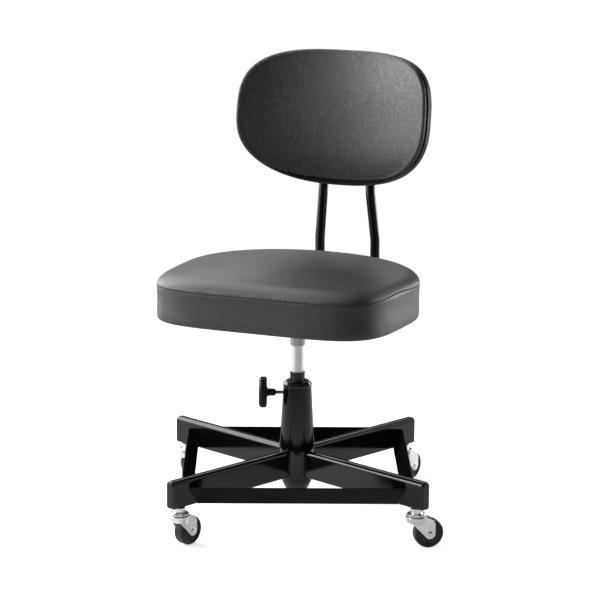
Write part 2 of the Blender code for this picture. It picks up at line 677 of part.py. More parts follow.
def collar_mesh():
    """Chamfered cap ring on the cone's rim."""
    bore = SLEEVE_OUTSIDE + CLEARANCE
    rim = COLLAR_DIAMETER / 2
    shape = turned([(bore, COLLAR_TOP), (rim - COLLAR_CHAMFER, COLLAR_TOP),
                    (rim, COLLAR_TOP - COLLAR_CHAMFER), (rim, COLLAR_BOTTOM), (bore, COLLAR_BOTTOM)],
                   CONE_FACETS)
    margin = CAP_SCREW_DIAMETER
    return cut(to_mesh("collar", shape), *screw_holes(COLLAR_BOTTOM - margin, COLLAR_TOP + margin))


def cap_screw_mesh():
    """Slotted round-head screw."""
    shank = CAP_SCREW_DIAMETER / 2
    head = CAP_SCREW_HEAD / 2
    seat = CLEARANCE
    top = seat + CAP_SCREW_HEAD_HEIGHT
    shape = turned([(0.0, top), (head * 0.55, top), (head * 0.9, seat + CAP_SCREW_HEAD_HEIGHT * 0.55),
                    (head, seat), (shank, seat), (shank, -CAP_SCREW_LENGTH), (0.0, -CAP_SCREW_LENGTH)],
                   SMALL_FACETS)
    half = CAP_SCREW_SLOT / 2
    outline = [(-head, -half), (head, -half), (head, half), (-head, half)]
    slot = prism(outline, top - CAP_SCREW_HEAD_HEIGHT / 2, top + head)
    return cut(to_mesh("cap_screw", shape), oriented(slot, Matrix.Rotation(math.radians(35.0), 4, "Z")))


def sleeve_mesh():
    """Split sleeve that the post slides in and that the clamp closes on it."""
    shape = turned([(SLEEVE_INSIDE, SLEEVE_TOP), (SLEEVE_OUTSIDE, SLEEVE_TOP),
                    (SLEEVE_OUTSIDE, SLEEVE_BOTTOM), (SLEEVE_INSIDE, SLEEVE_BOTTOM)])
    half = SLEEVE_SLIT / 2
    reach = SLEEVE_OUTSIDE + SLEEVE_WALL
    outline = [(0.0, -half), (reach, -half), (reach, half), (0.0, half)]
    slit = prism(outline, SLEEVE_BOTTOM - SLEEVE_WALL, SLEEVE_TOP + SLEEVE_WALL)
    oriented(slit, Matrix.Rotation(math.radians(SLEEVE_SLIT_ANGLE), 4, "Z"))
    return cut(to_mesh("sleeve", shape), slit)


def build_column(chair):
    """Cone, guide tube, cap ring with its screws and the split sleeve."""
    add_piece("column_cone", cone_mesh(), BLACK_PAINT, chair)
    add_piece("guide_tube", guide_mesh(), BLACK_PAINT, chair)
    add_piece("cap_collar", collar_mesh(), BLACK_PAINT, chair)
    add_piece("guide_sleeve", sleeve_mesh(), DARK_SLEEVE, chair)
    screw = cap_screw_mesh()
    for side, name in ((-1, "cap_screw_left"), (1, "cap_screw_right")):
        place = (side * CAP_SCREW_SPACING / 2, 0.0, COLLAR_TOP)
        add_piece(name, screw.copy(), ZINC_PLATE, chair, place)


# Clamp screw

def knob_mesh():
    """Fluted hand knob with a long hub, its axis along local Z from the column outwards."""
    steps = KNOB_FLUTES * 3
    rim = KNOB_DIAMETER / 2
    outline = []
    for step in range(steps):
        angle = math.tau * step / steps
        dip = KNOB_FLUTE_DEPTH * (0.5 - 0.5 * math.cos(KNOB_FLUTES * angle))
        outline.append(((rim - dip) * math.cos(angle), (rim - dip) * math.sin(angle)))
    inner = KNOB_FACE - KNOB_THICKNESS
    edge = KNOB_THICKNESS / 6
    rings = []
    for height, scale in ((inner, 0.5), (inner, 0.93), (inner + edge, 1.0), (KNOB_FACE - edge, 1.0),
                          (KNOB_FACE, 0.93), (KNOB_FACE, 0.5)):
        rings.append([(x * scale, y * scale, height) for x, y in outline])
    mesh = to_mesh("knob", loft(rings))
    hub = KNOB_HUB_DIAMETER / 2
    start = inner - KNOB_HUB_LENGTH
    neck = turned([(0.0, inner + edge), (hub, inner + edge), (hub, start + KNOB_HUB_CHAMFER),
                   (hub - KNOB_HUB_CHAMFER, start), (0.0, start)], SMALL_FACETS)
    bore = rod_shape(STUD_DIAMETER / 2 + CLEARANCE, start - edge, start + STUD_IN_KNOB + CLEARANCE)
    return cut(join(mesh, neck), bore)


def build_clamp(chair):
    """Knob and stud that turn together, and the shoe that they press on the sleeve."""
    level = (0.0, -math.pi / 2, 0.0)
    axis = (0.0, 0.0, CLAMP_HEIGHT)
    shoe_tip = SLEEVE_OUTSIDE + CLEARANCE
    shoe_end = shoe_tip + SHOE_LENGTH
    stud_end = KNOB_FACE - KNOB_THICKNESS - KNOB_HUB_LENGTH + STUD_IN_KNOB
    radius = STUD_DIAMETER / 2
    shoe = turned([(0.0, shoe_end), (radius * 0.95, shoe_end), (radius * 0.95, shoe_tip), (0.0, shoe_tip)],
                  SMALL_FACETS)
    add_piece("clamp_shoe", to_mesh("shoe", shoe), GREY_STEEL, chair, axis, level)
    stud = rod_shape(radius, shoe_end + CLEARANCE, stud_end)
    add_piece("clamp_stud", to_mesh("stud", stud), ZINC_PLATE, chair, axis, level)
    add_piece("clamp_knob", knob_mesh(), BLACK_PLASTIC, chair, axis, level)


# Post and swivel

def build_post(chair):
    """Plated post with a retaining groove, and the thrust ring on its top."""
    inside = POST_RADIUS - POST_WALL
    groove = HUB_TUBE_BOTTOM + GRUB_HEIGHT
    half = GRUB_DIAMETER / 2 + CLEARANCE
    shape = turned([(inside, POST_TOP), (POST_RADIUS, POST_TOP), (POST_RADIUS, groove + half),
                    (POST_RADIUS - GROOVE_DEPTH, groove + half), (POST_RADIUS - GROOVE_DEPTH, groove - half),
                    (POST_RADIUS, groove - half), (POST_RADIUS, POST_BOTTOM), (inside, POST_BOTTOM)])
    add_piece("post", to_mesh("post", shape), BRIGHT_PLATE, chair)
    top = HUB_TUBE_TOP
    bottom = POST_TOP + CLEARANCE
    rim = POST_RADIUS - CLEARANCE
    ring = turned([(THRUST_BORE / 2, top), (rim, top), (rim, bottom), (THRUST_BORE / 2, bottom)])
    add_piece("thrust_bearing", to_mesh("thrust", ring), GREY_STEEL, chair)


def build_seat_hub(seat):
    """Collar under the seat that turns on the post, kept on by a grub screw."""
    rim = HUB_FLANGE_DIAMETER / 2
    shoulder = HUB_TUBE_TOP - HUB_FLANGE_HEIGHT
    shape = turned([(HUB_TUBE_INSIDE, HUB_TUBE_TOP), (rim, HUB_TUBE_TOP), (rim, shoulder),
                    (HUB_TUBE_OUTSIDE, shoulder), (HUB_TUBE_OUTSIDE, HUB_TUBE_BOTTOM + HUB_TUBE_ROUND),
                    (HUB_TUBE_OUTSIDE - HUB_TUBE_ROUND * 0.3, HUB_TUBE_BOTTOM + HUB_TUBE_ROUND * 0.3),
                    (HUB_TUBE_OUTSIDE - HUB_TUBE_ROUND * 0.9, HUB_TUBE_BOTTOM),
                    (HUB_TUBE_INSIDE, HUB_TUBE_BOTTOM)])
    level = Matrix.Translation((0.0, 0.0, HUB_TUBE_BOTTOM + GRUB_HEIGHT))
    level = level @ Matrix.Rotation(-math.pi / 2, 4, "X")
    hole = rod_shape(GRUB_DIAMETER / 2 + CLEARANCE, POST_RADIUS / 2, HUB_TUBE_OUTSIDE * 2)
    add_piece("seat_hub", cut(to_mesh("seat_hub", shape), oriented(hole, level)), GREY_STEEL, seat)
    tip = POST_RADIUS - GROOVE_DEPTH + CLEARANCE
    grub = rod_shape(GRUB_DIAMETER / 2, tip, HUB_TUBE_OUTSIDE)
    add_piece("hub_grub_screw", to_mesh("grub", oriented(grub, level)), GREY_STEEL, seat)


# Seat

def seat_ring(height, inset, scale=1.0):
    """Seat outline at one height: square-shouldered in front, round behind."""
    points = []
    for step in range(SEAT_POINTS):
        angle = math.tau * step / SEAT_POINTS
        rear = math.sin(angle) > 0.0
        reach = SEAT_REAR if rear else SEAT_FRONT
        power = SEAT_REAR_POWER if rear else SEAT_FRONT_POWER
        x, y = power_curve(angle, SEAT_WIDTH / 2 - inset, reach - inset, power)
        x *= 1.0 + SEAT_FLARE * y / reach
        points.append((x * scale, y * scale - SEAT_FORWARD, height))
    return points


def cushion_mesh():
    """Upholstered seat: drawn-in side band, sewn edge, round shoulder and a crowned top."""
    bottom = SEAT_UNDERSIDE
    recess = bottom + BOARD_THICKNESS + 2 * CLEARANCE
    inner = BOARD_MARGIN - CLEARANCE
    seam = bottom + SEAT_BAND
    rings = [seat_ring(recess, inner), seat_ring(bottom, inner), seat_ring(bottom, SEAT_TUCK),
             seat_ring(bottom + SEAT_TUCK * 0.25, SEAT_TUCK * 0.35),
             seat_ring(bottom + SEAT_TUCK, SEAT_DRAW * 0.6),
             seat_ring(bottom + SEAT_BAND / 2, SEAT_DRAW), seat_ring(seam, 0.0)]
    for step in range(1, 5):
        swing = math.radians(90.0 * step / 4)
        run = SEAT_SHOULDER_RUN * (1 - math.cos(swing))
        rings.append(seat_ring(seam + SEAT_SHOULDER * math.sin(swing), run))
    for scale in (0.75, 0.5, 0.25):
        lift = SEAT_CROWN * (1.0 - scale * scale)
        rings.append(seat_ring(seam + SEAT_SHOULDER + lift, SEAT_SHOULDER_RUN, scale))
    shape = loft(rings)
    peak = max(shape.verts, key=lambda vert: (vert.co.z, -abs(vert.co.x)))
    peak.co.z = seam + SEAT_SHOULDER + SEAT_CROWN
    return to_mesh("seat_cushion", shape)


def build_seat(seat):
    """Cushion on a plywood board, and the pressed plate screwed under it."""
    add_piece("seat_cushion", cushion_mesh(), BLACK_VINYL, seat)
    bottom = SEAT_UNDERSIDE + CLEARANCE
    board = loft([seat_ring(bottom, BOARD_MARGIN), seat_ring(bottom + BOARD_THICKNESS, BOARD_MARGIN)])
    add_piece("seat_board", to_mesh("seat_board", board), PLYWOOD, seat)
    half = PLATE_WIDTH / 2
    top = PLATE_BOTTOM + PLATE_SHEET
    lip = PLATE_BOTTOM - PLATE_LIP
    inside = half - PLATE_SHEET
    section = [(-half, lip), (-half, top), (half, top), (half, lip), (inside, lip),
               (inside, PLATE_BOTTOM), (-inside, PLATE_BOTTOM), (-inside, lip)]
    front = PLATE_DEPTH / 2 + PLATE_REARWARD
    plate = oriented(prism(section, -front, PLATE_DEPTH - front), across_y())
    mesh = cut(to_mesh("seat_plate", plate), *bolt_holes(PLATE_BOTTOM - PLATE_SHEET, top + PLATE_SHEET))
    add_piece("seat_plate", mesh, BLACK_PAINT, seat)


# Backrest rods

def bolt_places():
    """Where the rod bolts stand, as (name, x, y)."""
    places = []
    for end, y in BAR_PLACES.items():
        for side, name in ((-1, "left"), (1, "right")):
            places.append((end + "_" + name, side * BOLT_SPACING / 2, y))
    return places


def bolt_holes(bottom, top):
    """Clearance holes for the rod bolts."""
    holes = []
    for _, x, y in bolt_places():
        hole = rod_shape(BOLT_DIAMETER / 2 + CLEARANCE, bottom, top)
        holes.append(oriented(hole, Matrix.Translation((x, y, 0.0))))
    return holes


def rod_path(side, pad):
    """Centre line of a rod: level under the seat, bent up behind it, then along the pad's back."""
    level = Vector((0.0, ROD_FRONT_END, ROD_LEVEL))
    wide = ROD_SPACING_SEAT / 2
    narrow = ROD_SPACING_PAD / 2
    foot = pad @ Vector((narrow, pad_rear(narrow), -PAD_BELOW))
    head = pad @ Vector((narrow, pad_rear(narrow), ROD_TOP_MARGIN))
    points = [(wide, level.y, level.z)]
    centre = (ROD_BACK - ROD_BEND_RADIUS, ROD_LEVEL + ROD_BEND_RADIUS)
    points += [(wide, y, z) for y, z in arc(centre, ROD_BEND_RADIUS, -90, 0, 8)]
    start = Vector((wide, ROD_BACK, ROD_LEVEL + ROD_LEAN_START))
    bend = [start.lerp(foot, share) for share in (0.0, 0.5, 0.8)]
    sweep = foot + (head - foot) * 0.2
    for share in (0.25, 0.5, 0.75):
        before = bend[-1].lerp(foot, share)
        after = foot.lerp(sweep, share)
        bend.append(before.lerp(after, share))
    points += [tuple(point) for point in bend + [sweep, head]]
    return [(side * x, y, z) for x, y, z in points]


def add_rod(name, points, seat):
    """A round bar along a centre line."""
    curve = bpy.data.curves.new(name, "CURVE")
    curve.dimensions = "3D"
    curve.bevel_depth = ROD_DIAMETER / 2
    curve.bevel_resolution = 3
    curve.use_fill_caps = True
    curve.render_resolution_u = 0
    spline = curve.splines.new("POLY")
    spline.points.add(len(points) - 1)
    for target, point in zip(spline.points, points):
        target.co = (*point, 1.0)
    add_piece(name, curve, None, seat).data.materials.append(finish_material(name, BLACK_PAINT))


def build_rods(seat, pad):
    """Two bent rods held under the seat plate by two bolted bars."""
    for side, name in ((-1, "rod_left"), (1, "rod_right")):
        add_rod(name, rod_path(side, pad), seat)
    top = ROD_LEVEL - ROD_DIAMETER / 2 - CLEARANCE
    bottom = top - BAR_THICKNESS
    holes_through = (bottom - BAR_THICKNESS, top + BAR_THICKNESS)
    round_end = BAR_WIDTH / 2
    for end, y in BAR_PLACES.items():
        straight = BAR_LENGTH / 2 - round_end
        outline = arc((straight, y), round_end, -90, 90, 6) + arc((-straight, y), round_end, 90, 270, 6)
        mesh = cut(to_mesh("bar", prism(outline, bottom, top)), *bolt_holes(*holes_through))
        add_piece("rod_bar_" + end, mesh, BLACK_PAINT, seat)
    seat_of_head = bottom - CLEARANCE
    flats = arc((0.0, 0.0), BOLT_HEAD / math.sqrt(3.0), 0, 300, 5)
    bolt = to_mesh("bolt", prism(flats, seat_of_head - BOLT_HEAD_HEIGHT, seat_of_head))
    shank = rod_shape(BOLT_DIAMETER / 2, seat_of_head - BOLT_HEAD_HEIGHT / 2, PLATE_BOTTOM + PLATE_SHEET)
    bolt = join(bolt, shank)
    for name, x, y in bolt_places():
        add_piece("rod_bolt_" + name, bolt.copy(), ZINC_PLATE, seat, (x, y, 0.0))


# Backrest pad

def pad_frame():
    """The pad's own frame: x across, y backwards, z up its leaning face, at its middle."""
    middle = Vector((0.0, PAD_BACK, SEAT_UNDERSIDE + PAD_CENTRE_HEIGHT))
    return Matrix.Translation(middle) @ Matrix.Rotation(-math.radians(PAD_TILT), 4, "X")


def pad_bow(x):
    """How far the pad comes forward at a distance x from its middle."""
    return -PAD_HOLLOW * (2.0 * x / PAD_WIDTH) ** 2


def pad_rear(x):
    """Depth at which a rod's centre line runs behind the shell."""
    slope = math.atan(8.0 * PAD_HOLLOW * x / PAD_WIDTH ** 2)
    stand = (ROD_DIAMETER / 2 + CLEARANCE) / math.cos(slope)
    return PAD_DEPTH / 2 + pad_bow(x) + stand


def pad_ring(depth, inset, scale=1.0):
    """Pad outline at one depth, bowed forward towards both ends."""
    points = []
    for step in range(PAD_POINTS):
        angle = math.tau * step / PAD_POINTS
        upper = math.sin(angle) > 0.0
        reach = PAD_ABOVE if upper else PAD_BELOW
        power = PAD_TOP_POWER if upper else PAD_BOTTOM_POWER
        x, z = power_curve(angle, PAD_WIDTH / 2 - inset, reach - inset, power)
        x *= scale
        points.append((x, depth + pad_bow(x), z * scale))
    return points


def pad_face(depth, outwards):
    """Rings of a face that another layer lies on, all on the board's outline."""
    rings = [pad_ring(depth, PAD_GROOVE, scale) for scale in (*PAD_STEPS, 1.0)]
    return rings if outwards else rings[::-1]


def pad_solid(rings, depths):
    """Skin a pad layer and set its two middle points on the bow."""
    shape = loft(rings)
    shape.verts.ensure_lookup_table()
    for vert, depth in zip(shape.verts[-2:], depths):
        vert.co = (0.0, depth, 0.0)
    bmesh.ops.triangulate(shape, faces=shape.faces, quad_method="SHORT_EDGE")
    return shape


def build_backrest(seat, pad):
    """Front cushion, recessed board, upholstered rear shell and the two rod clips."""
    shell_rear = PAD_DEPTH / 2
    shell_front = shell_rear - SHELL_EDGE
    board_rear = shell_front - CLEARANCE
    board_front = board_rear - PAD_BOARD
    cushion_rear = board_front - CLEARANCE
    edge = cushion_rear - PAD_EDGE
    place = pad.to_translation()
    lean = pad.to_euler()
    soft = PAD_CROWN * 0.5
    cushion = pad_face(cushion_rear, True)
    cushion += [pad_ring(cushion_rear, PAD_REAR_EASE), pad_ring(cushion_rear - PAD_EDGE * 0.3, 0.0),
                pad_ring(edge, 0.0), pad_ring(edge - soft * 0.5, soft * 0.35), pad_ring(edge - soft, soft)]
    for scale in (0.88, 0.7, 0.45, 0.2):
        cushion.append(pad_ring(edge - soft - (PAD_CROWN - soft) * (1 - scale ** 2), soft, scale))
    mesh = to_mesh("back_cushion", pad_solid(cushion, (cushion_rear, edge - PAD_CROWN)))
    add_piece("back_cushion", mesh, BLACK_VINYL, seat, place, lean)
    board = pad_face(board_front, True) + pad_face(board_rear, False)
    mesh = to_mesh("back_board", pad_solid(board, (board_front, board_rear)))
    add_piece("back_board", mesh, PLYWOOD, seat, place, lean)
    shell = pad_face(shell_front, True)
    shell += [pad_ring(shell_front, SHELL_FRONT_EASE * 0.75), pad_ring(shell_front + SHELL_FRONT_EASE, 0.0),
              pad_ring(shell_rear - SHELL_ROUND, 0.0),
              pad_ring(shell_rear - SHELL_ROUND * 0.3, SHELL_ROUND * 0.3), pad_ring(shell_rear, SHELL_ROUND)]
    shell += [pad_ring(shell_rear, SHELL_ROUND, scale) for scale in PAD_STEPS[::-1]]
    mesh = to_mesh("back_shell", pad_solid(shell, (shell_front, shell_rear)))
    add_piece("back_shell", mesh, BLACK_VINYL, seat, place, lean)
    for side, name in ((-1, "rod_clip_left"), (1, "rod_clip_right")):
        add_piece(name, clip_mesh(side), BLACK_PAINT, seat, place, lean)


def clip_mesh(side):
    """Saddle clip round a rod's upper end, its ears flat on the shell."""
    x = ROD_SPACING_PAD / 2
    slope = math.atan(8.0 * PAD_HOLLOW * x / PAD_WIDTH ** 2)
    inside = ROD_DIAMETER / 2 + CLEARANCE
    outside = inside + CLIP_SHEET
    foot = -ROD_DIAMETER / 2
    ear = foot + CLIP_SHEET
    reach = outside + CLIP_EAR
    outline = [(-reach, foot), (-inside, foot)]
    outline += arc((0.0, 0.0), inside, 180, 0, 10)
    outline += [(inside, foot), (reach, foot), (reach, ear), (outside, ear)]
    outline += arc((0.0, 0.0), outside, 0, 180, 10)
    outline += [(-outside, ear), (-reach, ear)]
    shape = prism(outline, CLIP_HEIGHT - CLIP_LENGTH / 2, CLIP_HEIGHT + CLIP_LENGTH / 2)
    oriented(shape, Matrix.Rotation(-side * slope, 4, "Z"))
    oriented(shape, Matrix.Translation((side * x, pad_rear(x), 0.0)))
    return to_mesh("rod_clip", shape)


def build_chair():
    """Put the chair together from the floor up."""
    clear_scene()
    chair = add_empty("chair", (COLUMN_X, COLUMN_Y, 0.0))
    seat = add_empty("seat_pivot", turn=CHAIR_TURN, parent=chair)
    pad = pad_frame()
    build_casters(chair)
    build_base(chair)
    build_column(chair)
    build_clamp(chair)
    build_post(chair)
    build_seat_hub(seat)
    build_seat(seat)
    build_rods(seat, pad)
    build_backrest(seat, pad)


build_chair()
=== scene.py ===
import math

import bmesh
import bpy
import numpy as np
from mathutils import Matrix, Vector


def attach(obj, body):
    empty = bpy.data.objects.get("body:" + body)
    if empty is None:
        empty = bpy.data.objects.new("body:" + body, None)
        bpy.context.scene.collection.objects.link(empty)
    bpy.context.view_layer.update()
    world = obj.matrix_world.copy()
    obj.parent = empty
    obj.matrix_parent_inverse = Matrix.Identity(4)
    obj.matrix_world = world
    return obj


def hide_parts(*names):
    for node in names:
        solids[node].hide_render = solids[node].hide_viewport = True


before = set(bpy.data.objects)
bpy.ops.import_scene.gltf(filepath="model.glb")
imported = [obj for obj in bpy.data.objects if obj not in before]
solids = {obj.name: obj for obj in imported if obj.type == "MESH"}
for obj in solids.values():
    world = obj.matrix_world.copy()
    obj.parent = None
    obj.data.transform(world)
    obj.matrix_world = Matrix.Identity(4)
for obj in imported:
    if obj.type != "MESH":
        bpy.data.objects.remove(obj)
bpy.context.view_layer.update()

# Hub of the base: a short steel tube that the four legs are welded round and that
# the column stands on. The welded frame is stoved in one coat of gloss black enamel.
COLUMN = Vector((-0.002, -0.011, 0.0))
ON_COLUMN = Matrix.Translation(COLUMN)
FRAME_BOTTOM = 0.0685
FRAME_TOP = 0.1165
HUB_FLOOR = 0.0715
SAME_POINT = 2e-6


def take(piece):
    """Make one piece the only selected one."""
    bpy.ops.object.select_all(action="DESELECT")
    piece.select_set(True)
    bpy.context.view_layer.objects.active = piece
    return piece


def modify(piece, kind, **settings):
    """Put a modifier on a piece and apply it."""
    take(piece)
    bpy.ops.object.modifier_add(type=kind)
    modifier = piece.modifiers[-1]
    for key, value in settings.items():
        setattr(modifier, key, value)
    bpy.ops.object.modifier_apply(modifier=modifier.name)
    return piece


def merge(piece, gap=SAME_POINT, flat_angle=0.0):
    """Merge doubled points, join faces that lie flat together and turn all faces outwards."""
    take(piece)
    bpy.ops.object.mode_set(mode="EDIT")
    bpy.ops.mesh.select_all(action="SELECT")
    bpy.ops.mesh.remove_doubles(threshold=gap)
    if flat_angle > 0.0:
        bpy.ops.mesh.dissolve_limited(angle_limit=math.radians(flat_angle))
    bpy.ops.mesh.normals_make_consistent()
    bpy.ops.object.mode_set(mode="OBJECT")
    return piece


def rounded(profile, radius, steps=3):
    """Round every corner of a profile except its two ends."""
    eased = [profile[0]]
    for before, corner, after in zip(profile, profile[1:], profile[2:]):
        middle = Vector(corner)
        back = Vector(before) - middle
        ahead = Vector(after) - middle
        reach = min(radius, back.length * 0.45, ahead.length * 0.45)
        first = middle + back.normalized() * reach
        last = middle + ahead.normalized() * reach
        for step in range(steps + 1):
            share = step / steps
            point = first * (1 - share) ** 2 + middle * 2 * share * (1 - share) + last * share ** 2
            eased.append((point.x, point.y))
    eased.append(profile[-1])
    return eased


def lathe(name, profile, facets=72):
    """Turn a profile of (radius, height) points about Z by drawing a circle up along it."""
    least = 1e-6
    start = max(profile[0][0], least)
    bpy.ops.mesh.primitive_circle_add(vertices=facets, radius=start, location=(0, 0, 0))
    piece = bpy.context.object
    piece.name = name
    bpy.ops.object.mode_set(mode="EDIT")
    bpy.ops.mesh.select_all(action="SELECT")
    bpy.ops.transform.translate(value=(0.0, 0.0, profile[0][1]))
    for (inner, low), (outer, high) in zip(profile, profile[1:]):
        bpy.ops.mesh.extrude_region_move(TRANSFORM_OT_translate={"value": (0.0, 0.0, high - low)})
        share = max(outer, least) / max(inner, least)
        bpy.ops.transform.resize(value=(share, share, 1.0), center_override=(0.0, 0.0, high))
    bpy.ops.object.mode_set(mode="OBJECT")
    return merge(piece, 3e-6)


def set_down(piece, place):
    """Put a piece in its place and leave the place in its mesh."""
    take(piece)
    piece.matrix_world = place
    bpy.ops.object.transform_apply()
    return piece


def polish(piece, angle=35.0):
    """Smooth shading with crisp edges, flat faces kept flat."""
    take(piece)
    bpy.ops.object.shade_smooth_by_angle(angle=math.radians(angle))
    return modify(piece, "WEIGHTED_NORMAL", keep_sharp=True)


def give(piece, finish):
    """Make a finish a piece's only one."""
    piece.data.materials.clear()
    piece.data.materials.append(finish)


def fit(piece, body, finish, slot, *stands_for):
    """Give a piece its finish and hang it on the body it moves with."""
    give(piece, finish)
    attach(piece, body)
    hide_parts(*stands_for)
    return piece


def feed(node, sockets):
    """Set or link a shader node's sockets, named by label or number."""
    for key, value in sockets.items():
        if isinstance(value, bpy.types.NodeSocket):
            node.id_data.links.new(value, node.inputs[key])
        else:
            node.inputs[key].default_value = value


def add(tree, kind, sockets=None, **settings):
    """Add a shader node with its settings and socket values or links."""
    made = tree.nodes.new(kind)
    for key, value in settings.items():
        setattr(made, key, value)
    feed(made, sockets or {})
    return made


def calc(tree, operation, first, second=0.0):
    """One arithmetic step on one or two values or sockets."""
    return add(tree, "ShaderNodeMath", {0: first, 1: second}, operation=operation).outputs[0]


def times(tree, first, second):
    """The product of two values or sockets."""
    return calc(tree, "MULTIPLY", first, second)


def plus(tree, first, second):
    """The sum of two values or sockets."""
    return calc(tree, "ADD", first, second)


def spread(tree, value, low, high, to_low=0.0, to_high=1.0):
    """Map a value from one range to another, held at both ends."""
    made = add(tree, "ShaderNodeMapRange", {0: value, 1: low, 2: high, 3: to_low, 4: to_high})
    return made.outputs[0]


def tint(tree, mask, first, second):
    """Blend two colours by a mask."""
    colours = {0: mask, 6: (*first, 1.0), 7: (*second, 1.0)}
    return add(tree, "ShaderNodeMix", colours, data_type="RGBA").outputs[2]


def new_effect(name, inputs, outputs):
    """Start a shader node group with named sockets."""
    tree = bpy.data.node_groups.new(name, "ShaderNodeTree")
    for label, value in inputs.items():
        kind = "NodeSocketFloat" if isinstance(value, float) else "NodeSocketVector"
        socket = tree.interface.new_socket(label, in_out="INPUT", socket_type=kind)
        if value is not None:
            socket.default_value = value
    for label in outputs:
        tree.interface.new_socket(label, in_out="OUTPUT", socket_type="NodeSocketFloat")
    return tree, tree.nodes.new("NodeGroupInput").outputs, tree.nodes.new("NodeGroupOutput")


def use_effect(tree, effect, **values):
    """Place a shader node group in a finish."""
    return add(tree, "ShaderNodeGroup", values, node_tree=effect).outputs


def new_finish(name):
    """A material with its shader and Object coordinates at hand."""
    finish = bpy.data.materials.new(name)
    finish.use_nodes = True
    tree = finish.node_tree
    where = tree.nodes.new("ShaderNodeTexCoord").outputs["Object"]
    return finish, tree, tree.nodes["Principled BSDF"], where


def raise_surface(tree, shader, height, distance, strength):
    """Feed a height into the shader's normal."""
    bump = add(tree, "ShaderNodeBump", {"Height": height, "Distance": distance, "Strength": strength})
    feed(shader, {"Normal": bump.outputs["Normal"]})


# Dust and scuffs: ragged patches that break up along a finer noise
scuffs, given, result = new_effect("scuffs", {"Vector": None, "Scale": 40.0, "Cover": 0.55, "Edge": 0.12},
                                   ["Mask"])
coarse = add(scuffs, "ShaderNodeTexNoise", {"Vector": given["Vector"], "Scale": given["Scale"],
                                            "Detail": 7.0, "Roughness": 0.68}).outputs["Fac"]
upper = plus(scuffs, given["Cover"], given["Edge"])
feed(result, {"Mask": spread(scuffs, coarse, given["Cover"], upper)})


def patches(tree, where, scale, cover, edge):
    """Mask of dust or scuffs in a finish."""
    return use_effect(tree, scuffs, Vector=where, Scale=scale, Cover=cover, Edge=edge)["Mask"]


# Grain: fine unevenness that can be drawn out along one direction
grain, given, result = new_effect("grain", {"Vector": None, "Stretch": (1.0, 1.0, 1.0), "Scale": 300.0},
                                  ["Height"])
drawn = add(grain, "ShaderNodeVectorMath", {0: given["Vector"], 1: given["Stretch"]}, operation="MULTIPLY")
fine = add(grain, "ShaderNodeTexNoise", {"Vector": drawn.outputs[0], "Scale": given["Scale"],
                                         "Detail": 4.0, "Roughness": 0.55}).outputs["Fac"]
feed(result, {"Height": fine})


def grain_of(tree, where, scale, stretch=(1.0, 1.0, 1.0)):
    """Height of a grain in a finish."""
    return use_effect(tree, grain, Vector=where, Stretch=stretch, Scale=scale)["Height"]


enamel, tree, shader, where = new_finish("black_enamel")
peel = grain_of(tree, where, 220.0)
dust = patches(tree, where, 55.0, 0.56, 0.2)
specks = patches(tree, where, 900.0, 0.70, 0.04)
spots = calc(tree, "MAXIMUM", times(tree, dust, 0.22), times(tree, specks, 0.5))
haze = plus(tree, spread(tree, peel, 0.3, 0.7, 0.09, 0.13), times(tree, dust, 0.10))
feed(shader, {"Base Color": tint(tree, spots, (0.003, 0.0032, 0.0034), (0.03, 0.029, 0.027)),
              "Roughness": haze, "Specular IOR Level": 0.46})
raise_surface(tree, shader, peel, 0.00010, 0.35)

hub = lathe("hub_tube", rounded([
    (0.027, 0.09), (0.027, FRAME_TOP), (0.030, FRAME_TOP), (0.030, FRAME_BOTTOM), (0.0173, FRAME_BOTTOM),
    (0.0173, HUB_FLOOR), (0.027, HUB_FLOOR), (0.027, 0.09)], 0.0008))
fit(polish(set_down(hub, ON_COLUMN)), "base", enamel, "black_paint", "hub")

# Legs: four lengths of rectangular steel tube, 19 by 48 mm, with rolled top edges.
# The outer end is closed by a welded nose ground smooth; the inner end meets the hub.
LEG_WIDTH = 0.019
LEG_INNER = 0.0303
LEG_REACH = 0.300
LEG_SHOULDER = 0.0072
LEG_BELLY = 0.0045
LEG_NOSE = 0.0042
LEG_ANGLES = {"fl": 225.0, "fr": 315.0, "bl": 135.0, "br": 45.0}
NEAR = 1e-5


def block(place, size):
    """A box about a place."""
    bpy.ops.mesh.primitive_cube_add(size=1.0, location=place, scale=size)
    return bpy.context.object


def round_edges(piece, radius, segments, test):
    """Bevel the edges whose two ends pass a test to a round."""
    take(piece)
    bpy.ops.object.mode_set(mode="EDIT")
    bpy.ops.mesh.select_mode(type="EDGE")
    bpy.ops.mesh.select_all(action="DESELECT")
    shape = bmesh.from_edit_mesh(piece.data)
    for edge in shape.edges:
        edge.select_set(test(edge.verts[0].co, edge.verts[1].co))
    shape.select_flush_mode()
    bmesh.update_edit_mesh(piece.data)
    bpy.ops.mesh.bevel(offset=radius, segments=segments, affect="EDGES")
    bpy.ops.object.mode_set(mode="OBJECT")


def new_piece(name, data):
    """Link a new object to the scene."""
    piece = bpy.data.objects.new(name, data)
    bpy.context.scene.collection.objects.link(piece)
    return piece


def copies(piece, names):
    """A piece and further copies of it, each with a mesh of its own."""
    piece.name = names[0]
    return [piece] + [new_piece(name, piece.data.copy()) for name in names[1:]]


def turned(degrees):
    """A turn about the upright axis."""
    return Matrix.Rotation(math.radians(degrees), 4, "Z")


